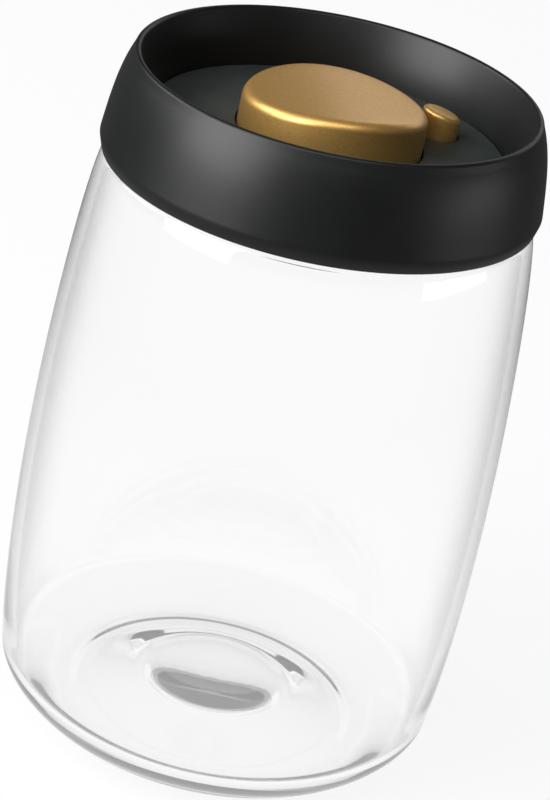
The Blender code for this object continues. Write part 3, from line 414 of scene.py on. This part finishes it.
def rippled_base(tree, place, normal):
    """Ring-shaped ripples that the mould leaves round the base, on top of another skin."""
    parts = add_node(tree, "ShaderNodeSeparateXYZ", {"Vector": place})
    flat = add_node(
        tree,
        "ShaderNodeVectorMath",
        {0: place, 1: (1, 1, 0)},
        operation="MULTIPLY",
    )
    radius = add_node(tree, "ShaderNodeVectorMath", {0: flat.outputs[0]}, operation="LENGTH")
    ring_place = add_node(
        tree,
        "ShaderNodeCombineXYZ",
        {"X": radius.outputs["Value"], "Z": parts.outputs["Z"]},
    )
    ripples = add_node(
        tree,
        "ShaderNodeTexNoise",
        {"Vector": ring_place.outputs[0], "Scale": per_size(RIPPLE_SIZE), "Detail": 1},
    )
    near_base = add_node(
        tree,
        "ShaderNodeMapRange",
        {
            "Value": parts.outputs["Z"],
            "From Min": RIPPLE_FADE_START,
            "From Max": RIPPLE_FADE_END,
            "To Min": 1,
            "To Max": 0,
        },
    )
    height = add_node(
        tree,
        "ShaderNodeMath",
        {0: ripples.outputs["Fac"], 1: near_base.outputs["Result"]},
        operation="MULTIPLY",
    )
    skin = add_node(
        tree,
        "ShaderNodeBump",
        {
            "Height": height.outputs[0],
            "Strength": RIPPLE_STRENGTH,
            "Distance": RIPPLE_DEPTH,
            "Normal": normal,
        },
    )
    return skin.outputs["Normal"]


def borosilicate_glass():
    """Clear borosilicate glass, blown: a barely wavy skin, and a painted shade where seen
    edge-on.
    """
    material, tree, shader, place = start_material(
        "borosilicate_glass",
        Roughness=0,
        IOR=GLASS_IOR,
        Transmission_Weight=1,
        Emission_Color=WHITE,
    )
    # Painted shade: the colour greys where the glass is seen edge-on, in place of the darker
    # surroundings that it bends and reflects there
    grazing = add_node(tree, "ShaderNodeLayerWeight", {"Blend": 0.5})
    edge = add_node(
        tree,
        "ShaderNodeMapRange",
        {
            "Value": grazing.outputs["Facing"],
            "From Min": PAINTED_EDGE_SHADE_START,
            "From Max": PAINTED_EDGE_SHADE_END,
        },
        interpolation_type="SMOOTHSTEP",
    )
    tone = add_node(
        tree,
        "ShaderNodeMix",
        {
            "Factor": edge.outputs["Result"],
            FIRST_COLOUR: WHITE,
            SECOND_COLOUR: linear(PAINTED_EDGE_SHADE),
        },
        data_type="RGBA",
    )
    normal = rippled_base(tree, place, waved_skin(tree, place))
    tree.links.new(tone.outputs[MIXED_COLOUR], shader.inputs["Base Color"])
    tree.links.new(normal, shader.inputs["Normal"])
    # Grey for light that bounces on in the thick heel once the renderer stops following it
    depth = add_node(tree, "ShaderNodeLightPath").outputs["Glossy Depth"]
    ended = add_node(
        tree,
        "ShaderNodeMath",
        {0: depth, 1: FOLLOWED_BOUNCES},
        operation="GREATER_THAN",
    )
    trapped = add_node(
        tree,
        "ShaderNodeMath",
        {0: ended.outputs[0], 1: TRAPPED_LIGHT},
        operation="MULTIPLY",
    )
    tree.links.new(trapped.outputs[0], shader.inputs["Emission Strength"])
    tint = add_node(
        tree,
        "ShaderNodeVolumeAbsorption",
        {"Color": linear(GLASS_TINT), "Density": GLASS_TINT_DENSITY},
    )
    output = tree.nodes["Material Output"]
    tree.links.new(tint.outputs["Volume"], output.inputs["Volume"])
    return material


def moulded_plastic(name, dark, light, grain, depth, roughness):
    """Moulded polypropylene: matt, with a spark-eroded grain and slow changes of sheen.

    The real grain is about 0.1 mm across. It is drawn coarser, so that it shows.
    """
    material, tree, shader, place = start_material(
        name,
        IOR=PLASTIC_IOR,
        Specular_IOR_Level=PLASTIC_SPECULAR,
    )
    patches = add_node(
        tree,
        "ShaderNodeTexNoise",
        {"Vector": place, "Scale": per_size(SHEEN_PATCH_SIZE), "Detail": 3},
    )
    specks = add_node(
        tree,
        "ShaderNodeTexNoise",
        {"Vector": place, "Scale": per_size(grain), "Detail": 2, "Roughness": 0.6},
    )
    amount = add_node(
        tree,
        "ShaderNodeMath",
        {0: patches.outputs["Fac"], 1: specks.outputs["Fac"]},
        operation="MULTIPLY",
    )
    colour_and_gloss(
        tree,
        shader,
        amount.outputs[0],
        patches.outputs["Fac"],
        dark,
        light,
        roughness - SHEEN_SPREAD,
        roughness + SHEEN_SPREAD,
    )
    skin = add_node(
        tree,
        "ShaderNodeBump",
        {"Height": specks.outputs["Fac"], "Strength": GRAIN_STRENGTH, "Distance": depth},
    )
    tree.links.new(skin.outputs["Normal"], shader.inputs["Normal"])
    return material


def gold_lacquer():
    """Aluminium under a satin gold lacquer: a broad sheen, fine flakes and a soft clear coat.

    Real flakes are about 0.05 mm across. They are drawn coarser, so that they show.
    """
    material, tree, shader, place = start_material(
        "gold_metallic_lacquer",
        Metallic=0.8,
        Coat_Weight=0.25,
        Coat_Roughness=0.25,
    )
    flakes = add_node(
        tree,
        "ShaderNodeTexVoronoi",
        {"Vector": place, "Scale": per_size(FLAKE_SIZE)},
    )
    value = add_node(
        tree,
        "ShaderNodeSeparateColor",
        {"Color": flakes.outputs["Color"]},
    )
    colour_and_gloss(
        tree,
        shader,
        value.outputs[0],
        value.outputs[1],
        dark="#d3a357",
        light="#e0b46b",
        glossy=0.38,
        dull=0.46,
    )
    lean = add_node(
        tree,
        "ShaderNodeBump",
        {"Height": value.outputs[2], "Strength": FLAKE_STRENGTH, "Distance": FLAKE_DEPTH},
    )
    tree.links.new(lean.outputs["Normal"], shader.inputs["Normal"])
    return material


def silicone():
    """Moulded silicone rubber: off-white, slightly translucent, dusty matt."""
    material, tree, shader, place = start_material(
        "silicone_rubber",
        IOR=SILICONE_IOR,
        Subsurface_Weight=0.25,
        Subsurface_Scale=SILICONE_GLOW_DEPTH,
    )
    patches = add_node(
        tree,
        "ShaderNodeTexNoise",
        {"Vector": place, "Scale": per_size(SILICONE_PATCH_SIZE), "Detail": 3},
    )
    colour_and_gloss(
        tree,
        shader,
        patches.outputs["Fac"],
        patches.outputs["Fac"],
        dark="#d9d8d2",
        light="#e6e5e0",
        glossy=0.45,
        dull=0.6,
    )
    return material


def stainless_steel():
    """Stainless spring and screw steel: bright, with fine drawing marks, drawn coarser."""
    material, tree, shader, place = start_material("stainless_steel", Metallic=1)
    marks = add_node(
        tree,
        "ShaderNodeTexNoise",
        {"Vector": place, "Scale": per_size(DRAWING_MARK_SIZE), "Detail": 4},
    )
    colour_and_gloss(
        tree,
        shader,
        marks.outputs["Fac"],
        marks.outputs["Fac"],
        dark="#a9a8a6",
        light="#cfcecb",
        glossy=0.2,
        dull=0.34,
    )
    return material


def add_piece(name, shape, material, body, slot, *nodes):
    """Make a smooth-shaded piece that rides on a body and stands for its nodes."""
    mesh = bpy.data.meshes.new(name)
    shape.to_mesh(mesh)
    shape.free()
    mesh.shade_smooth()
    mesh.set_sharp_from_angle(angle=SHARP_ANGLE)
    mesh.materials.append(material)
    piece = bpy.data.objects.new(name, mesh)
    bpy.context.scene.collection.objects.link(piece)
    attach(piece, body)
    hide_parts(*nodes)
    return piece


def glass_outline():
    """Outline of the glass from the middle of its inner floor to that of its base."""
    lip_foot = GLASS_HEIGHT - LIP_FOOT_DROP
    lip_inside = (LIP_INNER_RADIUS, GLASS_HEIGHT, LIP_ROUND)
    lip_outside = (LIP_OUTER_RADIUS, GLASS_HEIGHT, LIP_ROUND)
    inner_heel = (HEEL[0] - GLASS_WALL, INNER_HEEL_HEIGHT)
    inner_belly = (BELLY[0] - GLASS_WALL, BELLY[1])
    inner_shoulder = (SHOULDER[0] - GLASS_WALL, SHOULDER[1] - INNER_SHOULDER_DROP)
    inner_bend = (SHOULDER_BEND[0] - GLASS_WALL, SHOULDER_BEND[1] - INNER_SHOULDER_DROP)
    inner_neck = (LIP_INNER_RADIUS, lip_foot)
    neck = (LIP_OUTER_RADIUS, lip_foot)
    bearing_outer = (BEARING_OUTER_RADIUS, 0)
    bearing_inner = (BEARING_INNER_RADIUS, 0)
    bearing_reach = (BEARING_OUTER_RADIUS + HEEL_HANDLE, 0)
    plateau_fall = (BEARING_INNER_RADIUS - PLATEAU_HANDLE, 0)
    plateau_rise = (PLATEAU[0] + PLATEAU_HANDLE, PLATEAU[1])
    bump_top = (0, BUMP_TOP)
    bump_reach = (INNER_PUNT[0] * BUMP_TOP_SHARE, BUMP_TOP)
    bump_spread = (INNER_PUNT[0] * BUMP_FOOT_SHARE, INNER_PUNT[1])
    punt_top = (0, PUNT[1] + PUNT_RISE)
    punt_reach = (PUNT[0] * PUNT_SHARE, punt_top[1])
    punt_spread = (PUNT[0] * PUNT_SHARE, PUNT[1])
    cone_reach = (PLATEAU[0] - PLATEAU_HANDLE, PLATEAU[1])
    cone_top = (PUNT[0] + PLATEAU_HANDLE, PUNT[1])
    floor_rise = (INNER_FLOOR[0] - INNER_PUNT_HANDLE, INNER_FLOOR[1])
    floor_top = (INNER_PUNT[0] + INNER_PUNT_HANDLE, INNER_PUNT[1])
    floor_reach = (INNER_FLOOR[0] + INNER_FLOOR_HANDLE, INNER_FLOOR[1])
    inner_heel_reach = (inner_heel[0], INNER_HEEL_HEIGHT - INNER_HEEL_HANDLE)
    inner_neck_foot = (LIP_INNER_RADIUS, inner_shoulder[1])
    inner_neck_reach = between(inner_neck, inner_neck_foot, NECK_HANDLE_SHARE)
    inner_rise = between(inner_bend, inner_shoulder, 1 + NECK_HANDLE_SHARE)
    outer_rise = between(SHOULDER_BEND, SHOULDER, 1 + NECK_HANDLE_SHARE)
    neck_reach = between(neck, (LIP_OUTER_RADIUS, SHOULDER[1]), NECK_HANDLE_SHARE)
    heel_direction = (Vector(BELLY) - Vector(HEEL)).normalized()
    heel_reach = Vector(HEEL) - heel_direction * HEEL_HANDLE
    return [
        bump_top,
        *curve(bump_top, bump_reach, bump_spread, INNER_PUNT, BUMP_STEPS),
        INNER_PUNT,
        *curve(INNER_PUNT, floor_top, floor_rise, INNER_FLOOR, BASE_STEPS),
        INNER_FLOOR,
        *curve(INNER_FLOOR, floor_reach, inner_heel_reach, inner_heel, INNER_HEEL_STEPS),
        inner_heel,
        *curve(inner_heel, inner_belly, inner_bend, inner_shoulder, WALL_STEPS),
        inner_shoulder,
        *curve(inner_shoulder, inner_rise, inner_neck_reach, inner_neck, NECK_STEPS),
        inner_neck,
        *rounded([inner_neck, lip_inside, lip_outside, neck], closed=False)[1:],
        *curve(neck, neck_reach, outer_rise, SHOULDER, NECK_STEPS),
        SHOULDER,
        *curve(SHOULDER, SHOULDER_BEND, BELLY, HEEL, WALL_STEPS),
        HEEL,
        *curve(HEEL, heel_reach, bearing_reach, bearing_outer, HEEL_STEPS),
        bearing_outer,
        bearing_inner,
        *curve(bearing_inner, plateau_fall, plateau_rise, PLATEAU, PLATEAU_STEPS),
        PLATEAU,
        *curve(PLATEAU, cone_reach, cone_top, PUNT, BASE_STEPS),
        PUNT,
        *curve(PUNT, punt_spread, punt_reach, punt_top, BASE_STEPS),
        punt_top,
    ]


def lid_shell_outline():
    """Outline of the lid shell: skirt, rim, recess wall and ledge."""
    lid_bottom, lid_top = (corner.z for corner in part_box("lid_shell"))
    skirt = curve(SKIRT_WIDEST, SKIRT_LEAN, RIM_LEAN, RIM_EDGE, SKIRT_STEPS)
    inside = [(radius - SHELL_WALL, height) for radius, height in skirt if height < CAVITY_TOP]
    wall_slope = (RIM_INNER_RADIUS - RECESS_RADIUS) / (lid_top - FLOOR_TOP)
    wall_foot = RECESS_RADIUS + SHELL_WALL
    wall_head = wall_foot + wall_slope * (CAVITY_TOP - FLOOR_TOP)
    return rounded([
        (SKIRT_FOOT_RADIUS - SHELL_FOOT_WALL, lid_bottom, SHELL_EDGE_ROUND),
        (SKIRT_FOOT_RADIUS, lid_bottom, SHELL_EDGE_ROUND),
        SKIRT_WIDEST,
        *skirt,
        RIM_EDGE,
        (RIM_CREST_RADIUS, lid_top, RIM_ROUND),
        (RIM_INNER_RADIUS, lid_top, RIM_ROUND),
        (RECESS_RADIUS, FLOOR_TOP),
        (RECESS_RADIUS, LEDGE_TOP),
        (LEDGE_RADIUS, LEDGE_TOP),
        (LEDGE_RADIUS, LEDGE_BOTTOM),
        (wall_foot, LEDGE_BOTTOM),
        (wall_foot, FLOOR_TOP),
        (wall_head, CAVITY_TOP, CAVITY_ROUND),
        (inside[-1][0], CAVITY_TOP, CAVITY_ROUND),
        *reversed(inside),
        (SKIRT_WIDEST[0] - SHELL_WALL, SKIRT_WIDEST[1]),
    ])


def crown(x, y):
    """Rise of the curved surface that cuts both buttons, over its height on the axis."""
    across = x * math.cos(CROWN_TURN) + y * math.sin(CROWN_TURN)
    return -across * across / (2 * CROWN_RADIUS) - y * math.tan(CROWN_TILT)


def cap(radius, bottom, ceiling, top, wall, edge_round, shares, offset, steps):
    """Button cap whose top follows the surface that both buttons share."""
    outline = rounded([
        (0, ceiling),
        (radius - wall, ceiling),
        (radius - wall, bottom),
        (radius, bottom),
        (radius, top, edge_round),
        *[(radius * share, top) for share in shares],
        (0, top),
    ], closed=False)
    shape = turned(outline, steps, closed=False)
    for vert in shape.verts:
        if vert.co.z > top - edge_round - MERGE_DISTANCE:
            vert.co.z += crown(vert.co.x + offset, vert.co.y) - crown(offset, 0)
    bmesh.ops.translate(shape, verts=shape.verts, vec=(offset, 0, 0))
    return shape


def build_jar(glass):
    """Blown glass jar."""
    shape = turned(glass_outline(), LARGE_STEPS, closed=False)
    add_piece("jar_glass", shape, glass, "jar", "clear_glass", "glass_jar")


def build_lid(black):
    """Moulded shell of the lid."""
    shape = turned(lid_shell_outline(), LARGE_STEPS)
    add_piece("lid_moulding", shape, black, "lid", "black_plastic", "lid_shell")


def build_buttons(gold):
    """Caps of the pump button and of the small release button beside it."""
    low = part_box("pump_button")[0]
    shape = cap(
        BUTTON_RADIUS,
        low.z,
        BUTTON_CEILING,
        BUTTON_TOP,
        BUTTON_WALL,
        BUTTON_EDGE_ROUND,
        TOP_RING_SHARES,
        offset=0,
        steps=MEDIUM_STEPS,
    )
    add_piece("pump_button_cap", shape, gold, "pump", "gold_metal", "pump_button")
    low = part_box("release_button")[0]
    shape = cap(
        RELEASE_RADIUS,
        low.z,
        RELEASE_CEILING,
        RELEASE_TOP,
        RELEASE_WALL,
        RELEASE_EDGE_ROUND,
        RELEASE_RING_SHARES,
        offset=RELEASE_OFFSET,
        steps=SMALL_STEPS,
    )
    add_piece("release_button_cap", shape, gold, "release", "gold_metal", "release_button")


def eased(name, edge_round):
    """Copy of a CAD node whose sharp edges are softly rounded, as a mould leaves them."""
    shape = bmesh.new()
    shape.from_mesh(frame["nodes"][name].data)
    bmesh.ops.remove_doubles(shape, verts=shape.verts, dist=MERGE_DISTANCE)
    bmesh.ops.dissolve_limit(
        shape,
        angle_limit=FLAT_ANGLE,
        verts=shape.verts,
        edges=shape.edges,
    )
    sharp = [
        edge for edge in shape.edges
        if edge.is_manifold and edge.calc_face_angle() > SHARP_ANGLE
    ]
    bmesh.ops.bevel(
        shape,
        geom=sharp,
        affect="EDGES",
        offset=edge_round,
        segments=EDGE_SEGMENTS,
        profile=0.5,
        material=-1,
        clamp_overlap=True,
    )
    bmesh.ops.recalc_face_normals(shape, faces=shape.faces)
    return shape


def build_inner_pieces(material, edge_round, *names):
    """Finish pieces whose CAD shape is right but for its crisp edges."""
    bodies = frame["record"]["behaviour"]["bodies"]
    slots = {part["node"]: part["material_slot"] for part in frame["record"]["subparts"]}
    for name in names:
        body = next(body for body, nodes in bodies.items() if name in nodes)
        shape = eased(name, edge_round)
        add_piece(f"{name}_finished", shape, material, body, slots[name], name)


def coil(radius, wire_radius, bottom, top, turns, end_pitch, offset):
    """Round wire wound into a spring whose first and last turns lie closer together."""
    rise = top - bottom - 2 * wire_radius
    middle_pitch = (rise - 2 * end_pitch) / (turns - 2)
    upright = Matrix.Rotation(math.pi / 2, 4, "X")
    start = Matrix.Translation((radius, 0, bottom + wire_radius))
    shape = bmesh.new()
    bmesh.ops.create_circle(
        shape,
        cap_ends=True,
        segments=WIRE_STEPS,
        radius=wire_radius,
        matrix=start @ upright,
    )
    last = list(shape.faces)
    for turn in range(turns):
        pitch = end_pitch if turn in (0, turns - 1) else middle_pitch
        wound = bmesh.ops.spin(
            shape,
            geom=last,
            cent=(0, 0, 0),
            axis=(0, 0, 1),
            dvec=(0, 0, pitch / COIL_STEPS),
            angle=math.tau,
            steps=COIL_STEPS,
            use_duplicate=False,
        )
        last = wound["geom_last"]
    bmesh.ops.translate(shape, verts=shape.verts, vec=(offset, 0, 0))
    bmesh.ops.recalc_face_normals(shape, faces=shape.faces)
    return shape


def build_springs(steel):
    """Both return springs, wound at one length; the real ones are pressed together as the
    buttons go down.
    """
    shape = coil(
        PUMP_COIL_RADIUS,
        PUMP_WIRE_RADIUS,
        PUMP_SPRING_BOTTOM,
        PUMP_SPRING_TOP,
        PUMP_COIL_TURNS,
        PUMP_END_PITCH,
        offset=0,
    )
    spring = add_piece("pump_spring_wire", shape, steel, "lid", "steel", "pump_spring")
    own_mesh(spring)
    shape = coil(
        RELEASE_COIL_RADIUS,
        RELEASE_WIRE_RADIUS,
        RELEASE_SPRING_BOTTOM,
        RELEASE_SPRING_TOP,
        RELEASE_COIL_TURNS,
        RELEASE_END_PITCH,
        offset=RELEASE_OFFSET,
    )
    spring = add_piece("release_spring_wire", shape, steel, "lid", "steel", "release_spring")
    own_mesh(spring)


def build_floor():
    """Pale seamless floor that shows white but keeps the jar's shadow."""
    shape = bmesh.new()
    bmesh.ops.create_grid(shape, x_segments=1, y_segments=1, size=FLOOR_SIZE / 2)
    bmesh.ops.translate(shape, verts=shape.verts, vec=(0, 0, -FLOOR_GAP))
    mesh = bpy.data.meshes.new("studio_floor")
    shape.to_mesh(mesh)
    shape.free()
    floor = bpy.data.objects.new("studio_floor", mesh)
    bpy.context.scene.collection.objects.link(floor)
    material = bpy.data.materials.new("pale_floor")
    material.use_nodes = True
    tree = material.node_tree
    tree.nodes.remove(tree.nodes["Principled BSDF"])
    paint = add_node(tree, "ShaderNodeBsdfDiffuse", {"Color": FLOOR_PAINT})
    glow = add_node(tree, "ShaderNodeEmission", {"Color": WHITE, "Strength": 1})
    path = add_node(tree, "ShaderNodeLightPath")
    through = add_node(
        tree,
        "ShaderNodeMath",
        {0: path.outputs["Is Transmission Ray"], 1: FLOOR_GLOW_IN_GLASS},
        operation="MULTIPLY",
    )
    share = add_node(
        tree,
        "ShaderNodeMath",
        {0: path.outputs["Is Camera Ray"], 1: FLOOR_GLOW, 2: through.outputs[0]},
        operation="MULTIPLY_ADD",
    )
    lit = add_node(
        tree,
        "ShaderNodeMixShader",
        {0: share.outputs[0], 1: paint.outputs[0], 2: glow.outputs[0]},
    )
    place = add_node(tree, "ShaderNodeTexCoord").outputs["Object"]
    away = add_node(tree, "ShaderNodeVectorMath", {0: place}, operation="LENGTH")
    fading = add_node(
        tree,
        "ShaderNodeMapRange",
        {
            "Value": away.outputs["Value"],
            "From Min": NEAR_FLOOR,
            "From Max": FAR_FLOOR,
            "To Min": FLOOR_GLOW,
            "To Max": FLOOR_MIRRORED_GLOW,
        },
    )
    mirrored = add_node(
        tree,
        "ShaderNodeEmission",
        {"Color": WHITE, "Strength": fading.outputs["Result"]},
    )
    bounced = add_node(
        tree,
        "ShaderNodeMath",
        {0: path.outputs["Is Glossy Ray"], 1: path.outputs["Is Transmission Ray"]},
        operation="SUBTRACT",
        use_clamp=True,
    )
    mixed = add_node(
        tree,
        "ShaderNodeMixShader",
        {0: bounced.outputs[0], 1: lit.outputs[0], 2: mirrored.outputs[0]},
    )
    tree.links.new(mixed.outputs[0], tree.nodes["Material Output"].inputs["Surface"])
    mesh.materials.append(material)


def build_world():
    """Pale backdrop that meets the floor, in an even, dimmer studio."""
    world = bpy.data.worlds.new("studio")
    world.use_nodes = True
    bpy.context.scene.world = world
    tree = world.node_tree
    path = add_node(tree, "ShaderNodeLightPath")
    way = add_node(tree, "ShaderNodeTexCoord").outputs["Generated"]
    up = add_node(tree, "ShaderNodeSeparateXYZ", {"Vector": way}).outputs["Z"]
    backdrop = add_node(
        tree,
        "ShaderNodeMapRange",
        {
            "Value": up,
            "From Min": BACKDROP_FADE_START,
            "From Max": BACKDROP_FADE_END,
            "To Min": FLOOR_GLOW,
            "To Max": WORLD_LEVEL_IN_GLASS,
        },
    )
    through = add_node(
        tree,
        "ShaderNodeMapRange",
        {
            "Value": path.outputs["Is Transmission Ray"],
            "To Min": WORLD_LEVEL,
            "To Max": backdrop.outputs["Result"],
        },
    )
    level = add_node(
        tree,
        "ShaderNodeMapRange",
        {
            "Value": path.outputs["Is Camera Ray"],
            "To Min": through.outputs["Result"],
            "To Max": FLOOR_GLOW,
        },
    )
    background = tree.nodes["Background"]
    background.inputs["Color"].default_value = WHITE
    tree.links.new(level.outputs["Result"], background.inputs["Strength"])


def turned_point(across, towards, height):
    """Point given in the photograph's frame, where the camera lies towards -Y."""
    return Matrix.Rotation(CAMERA_TURN, 3, "Z") @ Vector((across, towards, height))


def add_lamp(name, place, aim, width, height, power):
    """Soft box that points at a place on the jar."""
    lamp = bpy.data.lights.new(name, "AREA")
    lamp.shape = "RECTANGLE"
    lamp.size = width
    lamp.size_y = height
    lamp.energy = power
    item = bpy.data.objects.new(name, lamp)
    bpy.context.scene.collection.objects.link(item)
    start = turned_point(*place)
    direction = turned_point(*aim) - start
    item.location = start
    item.rotation_euler = direction.to_track_quat("-Z", "Y").to_euler()
    item.visible_transmission = False


def build_lamps():
    """Soft boxes round the jar."""
    for name, settings in SOFTBOXES.items():
        add_lamp(name, *settings)


def build_camera():
    """Camera at the photograph's viewing angle, rolled as the photograph is."""
    back = CAMERA_DISTANCE * math.cos(CAMERA_ELEVATION)
    rise = CAMERA_DISTANCE * math.sin(CAMERA_ELEVATION) + ORBIT_HEIGHT
    place = turned_point(0, -back, rise)
    forward = (turned_point(AIM_ACROSS, 0, AIM_HEIGHT) - place).normalized()
    right = forward.cross(Vector((0, 0, 1))).normalized()
    up = right.cross(forward)
    roll_cos = math.cos(CAMERA_ROLL)
    roll_sin = math.sin(CAMERA_ROLL)
    across = right * roll_cos + up * roll_sin
    upwards = up * roll_cos - right * roll_sin
    turn = Matrix((across, upwards, -forward)).transposed().to_4x4()
    data = bpy.data.cameras.new("photo_camera")
    data.lens = LENS
    data.sensor_width = SENSOR
    data.clip_end = VIEW_END
    camera = bpy.data.objects.new("photo_camera", data)
    camera.matrix_world = Matrix.Translation(place) @ turn
    bpy.context.scene.collection.objects.link(camera)
    bpy.context.scene.camera = camera


def main():
    """Build the finished jar, its studio and its camera."""
    bpy.context.scene.view_settings.view_transform = "Standard"
    glass = borosilicate_glass()
    black = moulded_plastic(
        "black_pp_moulded",
        dark="#080909",
        light="#101212",
        grain=0.5 * MILLIMETRE,
        depth=0.04 * MILLIMETRE,
        roughness=0.42,
    )
    plate = moulded_plastic(
        "charcoal_pp_grained",
        dark="#2a302e",
        light="#434947",
        grain=0.5 * MILLIMETRE,
        depth=0.08 * MILLIMETRE,
        roughness=0.6,
    )
    grey = moulded_plastic(
        "grey_pp_moulded",
        dark="#85888a",
        light="#989b9d",
        grain=0.35 * MILLIMETRE,
        depth=0.03 * MILLIMETRE,
        roughness=0.48,
    )
    gold = gold_lacquer()
    rubber = silicone()
    steel = stainless_steel()
    build_jar(glass)
    build_lid(black)
    build_buttons(gold)
    build_inner_pieces(plate, MOULDED_EDGE, "floor_plate")
    build_inner_pieces(black, MOULDED_EDGE, "plug_body")
    build_inner_pieces(grey, MOULDED_EDGE, "guide_ring", "inlet_cover", "button_core")
    build_inner_pieces(grey, MOULDED_EDGE, "pump_plunger", "release_stem")
    build_inner_pieces(rubber, SEAL_EDGE, "lid_gasket", "inlet_valve")
    build_inner_pieces(rubber, SEAL_EDGE, "piston_seal", "release_seal")
    build_inner_pieces(steel, SEAL_EDGE, "lid_screw_1", "lid_screw_2")
    build_inner_pieces(steel, SEAL_EDGE, "lid_screw_3", "lid_screw_4", "core_screw")
    build_springs(steel)
    build_floor()
    build_world()
    build_lamps()
    build_camera()


main()
